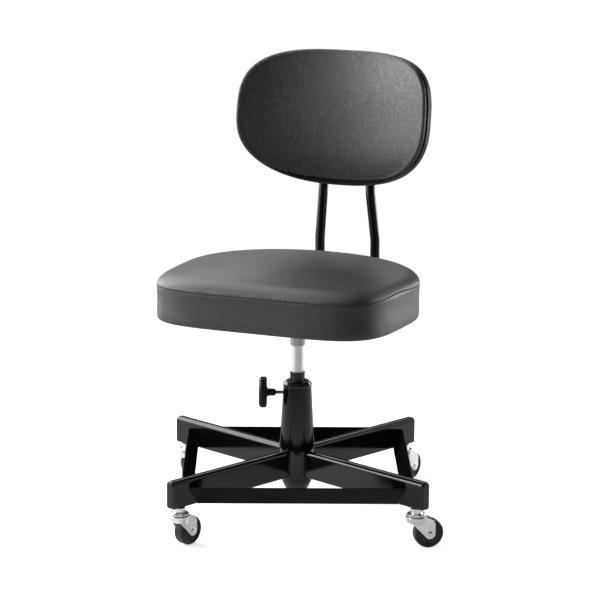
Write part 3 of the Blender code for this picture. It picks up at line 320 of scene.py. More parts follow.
leg = block(((LEG_INNER + LEG_REACH) / 2, 0.0, (FRAME_BOTTOM + FRAME_TOP) / 2),
            (LEG_REACH - LEG_INNER, LEG_WIDTH, FRAME_TOP - FRAME_BOTTOM))
bpy.ops.object.transform_apply()
round_edges(leg, LEG_SHOULDER, 10,
            lambda a, b: min(a.z, b.z) > FRAME_TOP - NEAR and abs(a.y - b.y) < NEAR)
round_edges(leg, LEG_BELLY, 6,
            lambda a, b: max(a.z, b.z) < FRAME_BOTTOM + NEAR and abs(a.y - b.y) < NEAR)
round_edges(leg, LEG_NOSE, 8, lambda a, b: min(a.x, b.x) > LEG_REACH - NEAR)
for item, corner in zip(copies(leg, ["leg_tube_" + corner for corner in LEG_ANGLES]), LEG_ANGLES):
    set_down(item, ON_COLUMN @ turned(LEG_ANGLES[corner]))
    fit(polish(item), "base", enamel, "black_paint", "leg_" + corner)

# Straps: four flat bars that lean inwards between the legs and tie them into a square,
# sawn to a mitre and welded to the legs' sides. The coat is thin and less glossy on
# their outer faces; the inner faces caught only overspray.
STRAPS = {"front": 0.0, "right": 90.0, "back": 180.0, "left": 270.0}
THIN_COAT_GLOSS = 0.17


def from_solid(name, node, flat_angle=1.0):
    """A merged copy of a solid in which each flat face is one face again."""
    piece = take(new_piece(name, solids[node].data.copy()))
    bpy.ops.mesh.customdata_custom_splitnormals_clear()
    return merge(piece, flat_angle=flat_angle)


def ease_edges(piece, width, segments=3, angle=50.0):
    """Take the sharp edges off a piece."""
    return modify(piece, "BEVEL", width=width, segments=segments, limit_method="ANGLE",
                  angle_limit=math.radians(angle), use_clamp_overlap=True)


def reglossed(finish, name, gloss):
    """A copy of a finish with another strength of mirror shine."""
    twin = finish.copy()
    twin.name = name
    twin.node_tree.nodes["Principled BSDF"].inputs["Specular IOR Level"].default_value = gloss
    return twin


overspray, tree, shader, where = new_finish("black_overspray")
thin = patches(tree, where, 90.0, 0.5, 0.25)
sanded = grain_of(tree, where, 700.0)
feed(shader, {"Base Color": tint(tree, thin, (0.003, 0.003, 0.003), (0.012, 0.012, 0.012)),
              "Roughness": spread(tree, sanded, 0.3, 0.7, 0.55, 0.7), "Specular IOR Level": 0.0})
raise_surface(tree, shader, sanded, 0.0002, 0.5)
thin_enamel = reglossed(enamel, "thin_enamel", THIN_COAT_GLOSS)
for side in STRAPS:
    strap = ease_edges(from_solid("strap_bar_" + side, "strap_" + side), 0.0007, 3, 30.0)
    fit(polish(strap), "base", thin_enamel, "black_paint", "strap_" + side)
    strap.data.materials.append(overspray)
    for face in strap.data.polygons:
        inwards = COLUMN - face.center
        inwards.z = 0.0
        face.material_index = int(face.normal.dot(inwards.normalized()) > 0.5)

# Weld beads: where the straps meet the legs and the legs meet the hub, run by hand
# in short overlapping pools and painted over.
STRAP_LEAN = math.radians(28.4)
STRAP_THICK = 0.0026
STRAP_REACH = 0.176
STRAP_HEIGHT = 0.0358
STRAP_FOOT = Vector((STRAP_REACH, FRAME_BOTTOM + STRAP_THICK * math.sin(STRAP_LEAN)))
STRAP_OUT = Vector((math.cos(STRAP_LEAN), -math.sin(STRAP_LEAN))) * STRAP_THICK
STRAP_RISE = Vector((math.sin(STRAP_LEAN), math.cos(STRAP_LEAN))) * STRAP_HEIGHT
POOL = 0.0021
STRAP_BEAD = 0.0015
HUB_BEAD = 0.0019
HUB_BEAD_REACH = 0.0292
HUB_BEAD_LIFT = 0.003
HUB_BEAD_RUN = Vector((0.0, 0.0, 0.039))


def bead(start, end, radius):
    """A row of overlapping weld pools along a line."""
    run = end - start
    steps = max(8, int(run.length / POOL * 4))
    profile = [(0.0, 0.0)]
    for step in range(1, steps):
        height = run.length * step / steps
        swell = 0.82 + 0.18 * abs(math.cos(math.pi * height / POOL))
        tail = min(1.0, 0.45 + min(step, steps - step) * 0.25)
        profile.append((radius * swell * tail, height))
    profile.append((0.0, run.length))
    upright = run.to_track_quat("Z", "Y").to_matrix().to_4x4()
    return set_down(lathe("bead", profile, 10), ON_COLUMN @ Matrix.Translation(start) @ upright)


beads = []
for angle in STRAPS.values():
    for side in (-1, 1):
        for foot in (STRAP_FOOT + STRAP_OUT, STRAP_FOOT):
            ends = []
            for point in (foot, foot + STRAP_RISE):
                across = side * (point.x - LEG_WIDTH / math.sqrt(2.0))
                ends.append(turned(angle) @ Vector((across, -point.x, point.y)))
            beads.append(bead(*ends, STRAP_BEAD))
for angle in LEG_ANGLES.values():
    for side in (-1, 1):
        foot = Vector((HUB_BEAD_REACH, side * LEG_WIDTH / 2, FRAME_BOTTOM + HUB_BEAD_LIFT))
        foot = turned(angle) @ foot
        beads.append(bead(foot, foot + HUB_BEAD_RUN, HUB_BEAD))
welds = take(beads[0])
for item in beads:
    item.select_set(True)
bpy.ops.object.join()
welds.name = "frame_welds"
fit(polish(welds, 60.0), "base", enamel, "black_paint")

# Hub cup: a dished steel pressing pushed up under the hub to close the guide tube.
# Enamelled black with the frame.
cup = lathe("hub_cup_pressing", rounded([
    (0.0, 0.0455), (0.018, 0.0455), (0.024, 0.0577), (0.024, 0.0682), (0.026, 0.0682), (0.026, 0.0577),
    (0.019, 0.0435), (0.0, 0.0435)], 0.0022, 5))
fit(polish(set_down(cup, ON_COLUMN)), "base", enamel, "black_paint", "hub_cup")

# Caster stems: turned steel with a ball race, driven up into a bush in each leg's end.
# Bright zinc plate, faintly mottled, duller where hands and floors have been.
CASTER_RADIUS = 0.2786
HEADINGS = {"fl": 49.0, "fr": 15.0, "bl": 95.0, "br": 52.0}

zinc, tree, shader, where = new_finish("zinc_plate")
mottle = add(tree, "ShaderNodeTexVoronoi", {"Vector": where, "Scale": 260.0}).outputs["Distance"]
film = grain_of(tree, where, 75.0)
rubbed = patches(tree, where, 130.0, 0.56, 0.14)
dull = plus(tree, spread(tree, mottle, 0.0, 0.7, 0.18, 0.27), times(tree, rubbed, 0.16))
feed(shader, {"Base Color": tint(tree, spread(tree, film, 0.3, 0.7), (0.80, 0.81, 0.82), (0.92, 0.92, 0.91)),
              "Metallic": 0.9, "Roughness": dull})
raise_surface(tree, shader, plus(tree, mottle, film), 0.00005, 0.4)

swivels = {}
for corner, angle in LEG_ANGLES.items():
    out = math.radians(angle)
    out = Vector((math.cos(out), math.sin(out), 0.0))
    swivels[corner] = Matrix.Translation(COLUMN + CASTER_RADIUS * out) @ turned(HEADINGS[corner])
    give(solids["leg_socket_" + corner], zinc)


def fit_casters(piece, name, place, body, finish, slot, node, shade=polish):
    """Copy a caster's piece to all four swivels and fit each copy to its own body and node."""
    for item, corner in zip(copies(piece, [name + corner for corner in LEG_ANGLES]), LEG_ANGLES):
        shade(set_down(item, swivels[corner] @ place))
        fit(item, body.format(corner), finish, slot, node + corner)


stem = lathe("stem", rounded([
    (0.0, 0.0945), (0.004, 0.0945), (0.005, 0.0935), (0.005, 0.0682), (0.010, 0.0682), (0.010, 0.0603),
    (0.0142, 0.0603), (0.0152, 0.0592), (0.0165, 0.0588), (0.0165, 0.0566), (0.0158, 0.0560),
    (0.0045, 0.0558), (0.0045, 0.0527), (0.0065, 0.0527), (0.0065, 0.0512), (0.005, 0.0507),
    (0.0, 0.0507)], 0.0005), 56)
fit_casters(stem, "swivel_stem_", Matrix(), "base", zinc, "zinc_plate", "caster_stem_")

# Caster forks: one steel pressing each, a coned crown drawn out into two cheeks that
# carry the axle behind the swivel. Pressed corners are soft all over; zinc plated.
FORK_GRAIN = 0.0006
FORK_KEPT = 0.35


def soft_all_over(piece):
    """Smooth shading with no crisp edge."""
    take(piece)
    bpy.ops.object.shade_smooth()


fork = from_solid("fork", "caster_fork_fl", 0.0)
fork.data.transform(swivels["fl"].inverted())
fork.data.remesh_voxel_size = FORK_GRAIN
bpy.ops.object.voxel_remesh()
modify(fork, "SMOOTH", factor=0.5, iterations=6)
modify(fork, "DECIMATE", ratio=FORK_KEPT)
fit_casters(fork, "pressed_fork_", Matrix(), "caster_{}", zinc, "zinc_plate", "caster_fork_", soft_all_over)

# Caster axles: plain steel pins through the fork, their ends riveted over to domes.
# Zinc plated like the fork.
TRAIL = 0.021
AXLE_HEIGHT = 0.025
ACROSS = Matrix.Translation((TRAIL, 0.0, AXLE_HEIGHT)) @ Matrix.Rotation(math.pi / 2, 4, "X")
axle = lathe("axle", rounded([
    (0.0, 0.0145), (0.0024, 0.0142), (0.0042, 0.0134), (0.005, 0.0129), (0.003, 0.0129), (0.003, -0.0129),
    (0.005, -0.0129), (0.0042, -0.0134), (0.0024, -0.0142), (0.0, -0.0145)], 0.0004), 40)
fit_casters(axle, "rivet_axle_", ACROSS, "caster_{}", zinc, "zinc_plate", "caster_axle_")

# Caster wheels: moulded black rubber on a plain bore, with dished sides and two fine
# mould rings. The tread is dulled and dusty from the floor.
rubber, tree, shader, where = new_finish("black_rubber")
moulded = grain_of(tree, where, 900.0)
floor_dust = patches(tree, where, 150.0, 0.5, 0.25)
grime = times(tree, floor_dust, 0.5)
feed(shader, {"Base Color": tint(tree, grime, (0.030, 0.030, 0.029), (0.085, 0.083, 0.078)),
              "Roughness": spread(tree, floor_dust, 0.0, 1.0, 0.46, 0.68), "Specular IOR Level": 0.35})
raise_surface(tree, shader, moulded, 0.00015, 0.5)

wheel_side = [(0.0033, 0.009), (0.0068, 0.009), (0.0092, 0.0066), (0.0172, 0.0066), (0.0182, 0.0072),
              (0.0192, 0.0066), (0.0202, 0.0074), (0.0222, 0.009), (0.0240, 0.0083), (0.0250, 0.0062)]
other_side = [(radius, -height) for radius, height in reversed(wheel_side)]
wheel = lathe("wheel", rounded(wheel_side + other_side + [wheel_side[0]], 0.0007), 96)
fit_casters(wheel, "rubber_wheel_", ACROSS, "wheel_{}", rubber, "black_rubber", "caster_wheel_")

# Column cover: a tapered steel tube that stands on the hub, drilled on its left side
# for the clamp screw. Gloss black enamel.
CLAMP_HEIGHT = 0.2153
STUD_HOLE = 0.0045


def drill(radius, depth, place, facets, turn=(0.0, 0.0, 0.0)):
    """A round tool about a place."""
    bpy.ops.mesh.primitive_cylinder_add(vertices=facets, radius=radius, depth=depth, location=place,
                                        rotation=turn)
    return bpy.context.object


def bore_out(piece, tool):
    """Cut a tool's shape out of a piece."""
    modify(piece, "BOOLEAN", operation="DIFFERENCE", solver="EXACT", object=tool)
    bpy.data.objects.remove(tool, do_unlink=True)
    return piece


cover = lathe("column_cover", rounded([
    (0.026, 0.16), (0.0225, 0.2262), (0.0245, 0.2262), (0.0307, 0.1168), (0.0287, 0.1168), (0.026, 0.16)],
    0.0006), 112)
bore_out(cover, drill(STUD_HOLE, 0.020, (-0.026, 0.0, CLAMP_HEIGHT), 40, (0.0, math.pi / 2, 0.0)))
fit(polish(set_down(cover, ON_COLUMN)), "base", enamel, "black_paint", "column_cone")

# Cap collar: a chamfered steel ring whose lip hangs over the cover's rim and leaves a dark
# gap below it. Two slotted screws hold it down on the guide tube's flange. The ring is
# enamelled, the screws are zinc plated.
COLLAR_TOP = 0.2366
CAP_SCREW_REACH = 0.0175
collar = lathe("cap_ring", rounded([
    (0.0133, 0.2337), (0.0133, COLLAR_TOP), (0.0216, COLLAR_TOP), (0.0253, 0.2312), (0.0253, 0.2286),
    (0.0236, 0.2286), (0.0236, 0.2250), (0.0228, 0.2250), (0.0228, 0.2308), (0.0133, 0.2308),
    (0.0133, 0.2337)], 0.0005), 112)
fit(polish(set_down(collar, ON_COLUMN)), "base", enamel, "black_paint", "cap_collar")
screw = lathe("cap_screw", rounded([
    (0.0, 0.0029), (0.0013, 0.00285), (0.0027, 0.0022), (0.0035, 0.0011), (0.00375, 0.0003),
    (0.002, 0.0003), (0.002, -0.0095), (0.0, -0.0095)], 0.0003), 40)
slot_saw = block((0.0, 0.0, 0.0034), (0.012, 0.0011, 0.0032))
slot_saw.rotation_euler.z = math.radians(35.0)
bore_out(screw, slot_saw)
sides = {"left": -1, "right": 1}
for item, side in zip(copies(screw, ["slotted_screw_" + side for side in sides]), sides):
    set_down(item, Matrix.Translation(COLUMN + Vector((sides[side] * CAP_SCREW_REACH, 0.0, COLLAR_TOP))))
    fit(polish(item), "base", zinc, "zinc_plate", "cap_screw_" + side)

# Guide sleeve: a split tube of dark nylon that the post slides in; the clamp closes the
# split on the post. The steel guide tube that holds it stays hidden in the cover.
SPLIT_ANGLE = math.radians(216.0)
SPLIT_REACH = 0.012
SPLIT_WIDTH = 0.0022
nylon, tree, shader, where = new_finish("dark_nylon")
rings = grain_of(tree, where, 1500.0, (0.05, 0.05, 1.0))
chalky = patches(tree, where, 220.0, 0.5, 0.3)
chalk = times(tree, chalky, 0.5)
feed(shader, {"Base Color": tint(tree, chalk, (0.022, 0.023, 0.025), (0.06, 0.06, 0.062)),
              "Roughness": spread(tree, rings, 0.3, 0.7, 0.38, 0.52)})
raise_surface(tree, shader, rings, 0.00008, 0.5)
give(solids["guide_tube"], enamel)
sleeve = lathe("split_sleeve", rounded([
    (0.0111, 0.19), (0.0111, 0.2527), (0.0130, 0.2527), (0.0130, 0.1257), (0.0111, 0.1257),
    (0.0111, 0.19)], 0.0005), 96)
slit_saw = block((SPLIT_REACH * math.cos(SPLIT_ANGLE), SPLIT_REACH * math.sin(SPLIT_ANGLE), 0.19),
                 (SPLIT_REACH, SPLIT_WIDTH, 0.16))
slit_saw.rotation_euler.z = SPLIT_ANGLE
bore_out(sleeve, slit_saw)
fit(polish(set_down(sleeve, ON_COLUMN)), "base", nylon, "dark_sleeve", "guide_sleeve")

# Clamp screw: a threaded stud of oiled steel moulded into a fluted hand knob of black
# plastic. The stud presses a small zinc plated shoe on the sleeve.
THREAD_PITCH = 0.00125
THREAD_TURNS = 22
THREAD_START = 0.0190
THREAD_ROOT = 0.0028
THREAD_CREST = 0.0033
STUD_END = 0.0471
FLUTES = 12
FLUTE_REACH = 0.0298
plastic, tree, shader, where = new_finish("black_plastic")
spark = grain_of(tree, where, 1400.0)
handled = patches(tree, where, 120.0, 0.5, 0.25)
worn = times(tree, handled, 0.4)
feed(shader, {"Base Color": tint(tree, worn, (0.005, 0.005, 0.005), (0.022, 0.022, 0.022)),
              "Roughness": spread(tree, handled, 0.0, 1.0, 0.48, 0.34), "Specular IOR Level": 0.3})
raise_surface(tree, shader, spark, 0.0001, 0.6)

steel, tree, shader, where = new_finish("oiled_steel")
oiled = patches(tree, where, 300.0, 0.5, 0.3)
feed(shader, {"Base Color": tint(tree, oiled, (0.34, 0.33, 0.32), (0.20, 0.195, 0.19)), "Metallic": 0.85,
              "Roughness": spread(tree, oiled, 0.0, 1.0, 0.30, 0.42)})
raise_surface(tree, shader, oiled, 0.00005, 0.5)

LEFTWARDS = Matrix.Translation(COLUMN + Vector((0.0, 0.0, CLAMP_HEIGHT)))
LEFTWARDS = LEFTWARDS @ Matrix.Rotation(-math.pi / 2, 4, "Y")
give(solids["clamp_shoe"], zinc)
thread = [(0.0, 0.0186), (THREAD_ROOT, 0.0186)]
for count in range(THREAD_TURNS):
    height = THREAD_START + count * THREAD_PITCH
    thread += [(THREAD_ROOT, height), (THREAD_CREST, height + 0.0005), (THREAD_CREST, height + 0.00068),
               (THREAD_ROOT, height + 0.00118)]
thread += [(THREAD_ROOT, STUD_END), (0.0, STUD_END)]
stud = lathe("threaded_stud", thread, 32)
fit(polish(set_down(stud, LEFTWARDS), 50.0), "clamp_screw", steel, "zinc_plate", "clamp_stud")
knob = lathe("hand_knob", rounded([
    (0.0, 0.0655), (0.0150, 0.0655), (0.0165, 0.0668), (0.0225, 0.0668), (0.0270, 0.0628), (0.0270, 0.0548),
    (0.0238, 0.0523), (0.0100, 0.0523), (0.0066, 0.0505), (0.0065, 0.0400), (0.0046, 0.0371),
    (0.0036, 0.0371), (0.0036, 0.0475), (0.0, 0.0475)], 0.0014, 4), 144)
for flute in range(FLUTES):
    angle = math.tau * flute / FLUTES
    place = (FLUTE_REACH * math.cos(angle), FLUTE_REACH * math.sin(angle), 0.0596)
    bore_out(knob, drill(0.0042, 0.03, place, 24))
ease_edges(knob, 0.0005, 2, 40.0)
fit(polish(set_down(knob, LEFTWARDS)), "clamp_screw", plastic, "black_plastic", "clamp_knob")

# Post: a drawn steel tube, bright plated and polished, that the seat turns on.
# A thrust ring lies on its top, inside the seat hub.
bright, tree, shader, where = new_finish("bright_plate")
polish_lines = grain_of(tree, where, 1800.0, (1.0, 1.0, 0.02))
wiped = patches(tree, where, 70.0, 0.5, 0.3)
dull = plus(tree, spread(tree, polish_lines, 0.3, 0.7, 0.30, 0.40), times(tree, wiped, 0.08))
feed(shader, {"Base Color": tint(tree, wiped, (0.95, 0.95, 0.95), (0.90, 0.90, 0.90)), "Metallic": 0.75,
              "Roughness": dull})
raise_surface(tree, shader, polish_lines, 0.0004, 0.8)
post = lathe("bright_post", rounded([
    (0.0088, 0.2), (0.0088, 0.3491), (0.0108, 0.3491), (0.0108, 0.3277), (0.0096, 0.3277), (0.0096, 0.3221),
    (0.0108, 0.3221), (0.0108, 0.0879), (0.0088, 0.0879), (0.0088, 0.2)], 0.0006), 96)
fit(polish(set_down(post, ON_COLUMN)), "post", bright, "bright_plate", "post")

# Seat hub: a turned steel collar with a flange, left in dull grey primer, that turns on
# the post and is kept on it by a grub screw.
SEAT_TURN = -23.0
TURN = ON_COLUMN @ turned(SEAT_TURN)
GRUB_HOLE = 0.0028
grey, tree, shader, where = new_finish("grey_steel")
pitted = grain_of(tree, where, 700.0)
blotched = patches(tree, where, 420.0, 0.46, 0.25)
feed(shader, {"Base Color": tint(tree, blotched, (0.52, 0.525, 0.53), (0.68, 0.685, 0.69)), "Metallic": 0.35,
              "Roughness": spread(tree, pitted, 0.3, 0.7, 0.42, 0.6)})
raise_surface(tree, shader, pitted, 0.0003, 0.5)
for node in ("thrust_bearing", "hub_grub_screw"):
    give(solids[node], grey)
seat_hub = lathe("seat_collar", rounded([
    (0.0111, 0.33), (0.0111, 0.3554), (0.032, 0.3554), (0.032, 0.3524), (0.0175, 0.3524), (0.01325, 0.3490),
    (0.01325, 0.3005), (0.0126, 0.2994), (0.0111, 0.2994), (0.0111, 0.33)], 0.0012, 4), 96)
bore_out(seat_hub, drill(GRUB_HOLE, 0.012, (0.0, 0.0135, 0.3249), 32, (math.pi / 2, 0.0, 0.0)))
fit(polish(set_down(seat_hub, TURN)), "seat", grey, "grey_steel", "seat_hub")

# Seat plate: a steel pressing with two turned-down lips, screwed under the seat board.
# It is welded to the hub's flange and carries the backrest rods.


def fit_pressing(name, node, finish, slot, width=0.0005):
    """Ease the edges of a solid under the seat or pad and fit it."""
    fit(polish(ease_edges(from_solid(name, node), width)), "seat", finish, slot, node)


fit_pressing("pressed_plate", "seat_plate", enamel, "black_paint", 0.0006)

# Backrest rods: two round steel bars, bent up behind the seat and drawn in to the pad.
# Gloss black enamel, clamped under the plate by two bars.
ROD_RADIUS = 0.00865
ROD_LEVEL = 0.34675
ROD_APART = 0.053
ROD_APART_ABOVE = 0.044
ROD_FRONT = 0.035
ROD_BEND = 0.055
ROD_BEND_START = 0.1766
PAD = Matrix.Translation((0.0, 0.2176, 0.6630)) @ Matrix.Rotation(-math.radians(8.9), 4, "X")
PAD_WIDTH = 0.3504
PAD_HOLLOW = 0.0625
PAD_BELOW = 0.1161
SHELL_REAR = 0.01965


def pad_bow(x):
    """How far the pad comes forward at a distance from its middle."""
    return -PAD_HOLLOW * (2.0 * x / PAD_WIDTH) ** 2


rod_slope = math.atan(8.0 * PAD_HOLLOW * ROD_APART_ABOVE / PAD_WIDTH ** 2)
ROD_REAR = SHELL_REAR + pad_bow(ROD_APART_ABOVE) + (ROD_RADIUS + 0.0003) / math.cos(rod_slope)
rod_foot = PAD @ Vector((ROD_APART_ABOVE, ROD_REAR, -PAD_BELOW))
rod_head = PAD @ Vector((ROD_APART_ABOVE, ROD_REAR, 0.030))
rod_line = [Vector((ROD_APART, ROD_FRONT, ROD_LEVEL))]
for step in range(17):
    swing = math.radians(-90.0 + 90.0 * step / 16)
    rod_line.append(Vector((ROD_APART, ROD_BEND_START + ROD_BEND * math.cos(swing),
                            ROD_LEVEL + ROD_BEND + ROD_BEND * math.sin(swing))))
lean_start = Vector((ROD_APART, ROD_BEND_START + ROD_BEND, ROD_LEVEL + 0.100))
bend_in = lean_start.lerp(rod_foot, 0.8)
sweep = rod_foot + (rod_head - rod_foot) * 0.2
rod_line += [lean_start, lean_start.lerp(rod_foot, 0.4), bend_in]
for step in range(1, 8):
    share = step / 8
    rod_line.append(bend_in.lerp(rod_foot, share).lerp(rod_foot.lerp(sweep, share), share))
rod_line += [sweep, rod_head]
for name, side in sides.items():
    line = bpy.data.curves.new("rod_line_" + name, "CURVE")
    line.dimensions = "3D"
    line.bevel_depth = ROD_RADIUS
    line.bevel_resolution = 10
    line.use_fill_caps = True
    run = line.splines.new("POLY")
    run.points.add(len(rod_line) - 1)
    for target, point in zip(run.points, rod_line):
        target.co = (side * point.x, point.y, point.z, 1.0)
    take(new_piece("bent_rod_" + name, line))
    bpy.ops.object.convert(target="MESH")
    rod = ease_edges(merge(bpy.context.object), 0.0012, 3, 60.0)
    fit(polish(set_down(rod, TURN)), "seat", enamel, "black_paint", "rod_" + name)

# Rod bars and bolts: two flat bars with round ends that clamp the rods up against the
# plate. The bars are enamelled; the four hexagon bolts are zinc plated.
for end in ("front", "rear"):
    fit_pressing("clamp_bar_" + end, "rod_bar_" + end, enamel, "black_paint")
    for side in sides:
        place = end + "_" + side
        fit_pressing("hex_bolt_" + place, "rod_bolt_" + place, zinc, "zinc_plate")

# Seat board: 12 mm plywood let into the underside of the cushion, pale birch veneer with
# a fine straight grain, sealed and a little soiled. The backrest's board is sprayed
# black, because its edge can be seen in the groove.
plywood, tree, shader, where = new_finish("plywood")
figure = grain_of(tree, where, 160.0, (1.0, 0.06, 1.0))
pores = grain_of(tree, where, 1100.0, (1.0, 0.03, 1.0))
soil = patches(tree, where, 25.0, 0.52, 0.3)
wood = plus(tree, times(tree, figure, 0.7), times(tree, pores, 0.3))
wood = spread(tree, calc(tree, "SUBTRACT", wood, times(tree, soil, 0.1)), 0.3, 0.7)
feed(shader, {"Base Color": tint(tree, wood, (0.30, 0.19, 0.10), (0.52, 0.38, 0.23)),
              "Roughness": spread(tree, pores, 0.3, 0.7, 0.55, 0.75)})
raise_surface(tree, shader, pores, 0.0003, 0.5)
give(solids["seat_board"], plywood)
give(solids["back_board"], overspray)

# Seat cushion: foam on the board under a cover of black grained vinyl, a side band sewn
# to a top panel. The top swells over the foam and puckers finely along the seam.
SEAT_HALF = 0.2135
SEAT_FRONT = 0.1815
SEAT_REAR = 0.188
SEAT_FORWARD = 0.016
SEAT_SQUARENESS = 4.7
SEAT_ROUNDNESS = 2.05
SEAT_TAPER = 0.032
SEAT_BOTTOM = 0.3580
SEAT_TUCK = 0.006
SEAT_MOUTH = 0.0137
BAND_FOOT = 0.369
BAND_SWELL = 0.0010
SEAM = 0.4180
SEAM_WIDTH = 0.0026
SEAM_DEPTH = 0.0003
SHOULDER = 0.0214
SHOULDER_RUN = 0.043
SEAT_CROWN = 0.0090
PUCKER_PITCH = 0.0044
PUCKER_HEIGHT = 0.012
COVER_POINTS = 160
QUARTER_TURN = np.radians((0.0, 22.5, 45.0, 67.5, 90.0))

hide, given, result = new_effect("hide_grain", {"Vector": None, "Scale": 520.0}, ["Height", "Valley"])
warp = add(hide, "ShaderNodeTexNoise", {"Vector": given["Vector"], "Scale": 160.0, "Detail": 2.0})
bent = add(hide, "ShaderNodeVectorMath", {0: warp.outputs["Color"], 1: (0.0035, 0.0035, 0.0035)},
           operation="MULTIPLY").outputs[0]
moved = add(hide, "ShaderNodeVectorMath", {0: given["Vector"], 1: bent}, operation="ADD").outputs[0]
cells = add(hide, "ShaderNodeTexVoronoi", {"Vector": moved, "Scale": given["Scale"]},
            feature="DISTANCE_TO_EDGE").outputs["Distance"]
plateau = spread(hide, cells, 0.0, 0.16)
tooth = add(hide, "ShaderNodeTexNoise", {"Vector": moved, "Scale": 1600.0, "Detail": 3.0}).outputs["Fac"]
feed(result, {"Height": plus(hide, plateau, times(hide, tooth, 0.4)),
              "Valley": calc(hide, "SUBTRACT", 1.0, plateau)})

vinyl, tree, shader, where = new_finish("black_vinyl")
grained = use_effect(tree, hide, Vector=where, Scale=560.0)
along = add(tree, "ShaderNodeAttribute", attribute_name="seam_run").outputs["Fac"]
above = add(tree, "ShaderNodeAttribute", attribute_name="seam_rise").outputs["Fac"]
wander = add(tree, "ShaderNodeTexNoise", {"Vector": where, "Scale": 45.0, "Detail": 2.0}).outputs["Fac"]
phase = plus(tree, times(tree, along, math.tau / PUCKER_PITCH), times(tree, wander, 14.0))
fade = times(tree, spread(tree, above, 0.0, PUCKER_HEIGHT, 1.0, 0.0), spread(tree, above, -0.003, 0.0))
uneven = spread(tree, wander, 0.35, 0.65, 0.1, 1.0)
pucker = times(tree, times(tree, calc(tree, "SINE", phase), fade), uneven)
groove = spread(tree, calc(tree, "ABSOLUTE", above), 0.0003, 0.0016, 1.0, 0.0)
streaks = grain_of(tree, where, 42.0, (0.5, 1.6, 1.0))
height = calc(tree, "SUBTRACT", times(tree, grained["Height"], 0.32), groove)
height = plus(tree, height, times(tree, pucker, 0.58))
height = plus(tree, height, times(tree, streaks, 0.9))
rubbed = patches(tree, where, 14.0, 0.48, 0.3)
# Painted shade: the vinyl's base colour is darker in the grain's hollows and along the seam's crease.
hollow_shade = calc(tree, "MAXIMUM", times(tree, grained["Valley"], 0.6), groove)
gloss = spread(tree, grained["Valley"], 0.0, 1.0, 0.35, 0.47)
gloss = calc(tree, "SUBTRACT", gloss, times(tree, rubbed, 0.05))
gloss = plus(tree, gloss, times(tree, groove, 0.45))
feed(shader, {"Base Color": tint(tree, hollow_shade, (0.0036, 0.0036, 0.0035), (0.001, 0.001, 0.001)),
              "Roughness": gloss, "Specular IOR Level": 0.9})
raise_surface(tree, shader, height, 0.0009, 0.7)


def power_curve(angle, half_width, reach, power):
    """Points of a rounded outline between an ellipse and a rectangle."""
    across = np.cos(angle)
    along = np.sin(angle)
    return (np.sign(across) * np.abs(across) ** (2.0 / power) * half_width,
            np.sign(along) * np.abs(along) ** (2.0 / power) * reach)


def power_share(x, y, half_width, reach, power):
    """How far out a point lies: 0 in the middle, 1 on such an outline."""
    return (np.abs(x / half_width) ** power + np.abs(y / reach) ** power) ** (1.0 / power)


def even_angles(outline):
    """Angles at which the points of an outline lie evenly spaced round it."""
    dense = np.linspace(0.0, math.tau, 8001)
    x, y = outline(dense, 0.0)
    walked = np.concatenate(([0.0], np.cumsum(np.hypot(np.diff(x), np.diff(y)))))
    return np.interp(np.arange(COVER_POINTS) / COVER_POINTS * walked[-1], walked, dense)


def skin(name, rings):
    """Skin a row of closed rings and fill both ends with an even net of faces."""
    shape = bmesh.new()
    rows = [[shape.verts.new(point) for point in ring] for ring in rings]
    for lower, upper in zip(rows, rows[1:]):
        for index in range(COVER_POINTS):
            shape.faces.new((lower[index - 1], lower[index], upper[index], upper[index - 1]))
    mesh = bpy.data.meshes.new(name)
    shape.to_mesh(mesh)
    shape.free()
    piece = take(new_piece(name, mesh))
    bpy.ops.object.mode_set(mode="EDIT")
    bpy.ops.mesh.select_mode(type="VERT")
    for first in (0, (len(rings) - 1) * COVER_POINTS):
        bpy.ops.mesh.select_all(action="DESELECT")
        shape = bmesh.from_edit_mesh(piece.data)
        shape.verts.ensure_lookup_table()
        for index in range(first, first + COVER_POINTS):
            shape.verts[index].select_set(True)
        shape.select_flush_mode()
        shape.select_history.clear()
        shape.select_history.add(shape.verts[first + COVER_POINTS // 8])
        bmesh.update_edit_mesh(piece.data)
        bpy.ops.mesh.fill_grid(span=COVER_POINTS // 4)
    bpy.ops.mesh.select_all(action="SELECT")
    bpy.ops.mesh.normals_make_consistent()
    bpy.ops.object.mode_set(mode="OBJECT")
    return piece


def points_of(piece, kind="co"):
    """Vertex places, or normals, as an array."""
    values = np.zeros(len(piece.data.vertices) * 3)
    piece.data.vertices.foreach_get(kind, values)
    return values.reshape(-1, 3)


def move_points(piece, places):
    """Set every vertex to a new place."""
    piece.data.vertices.foreach_set("co", places.ravel())
    piece.data.update()


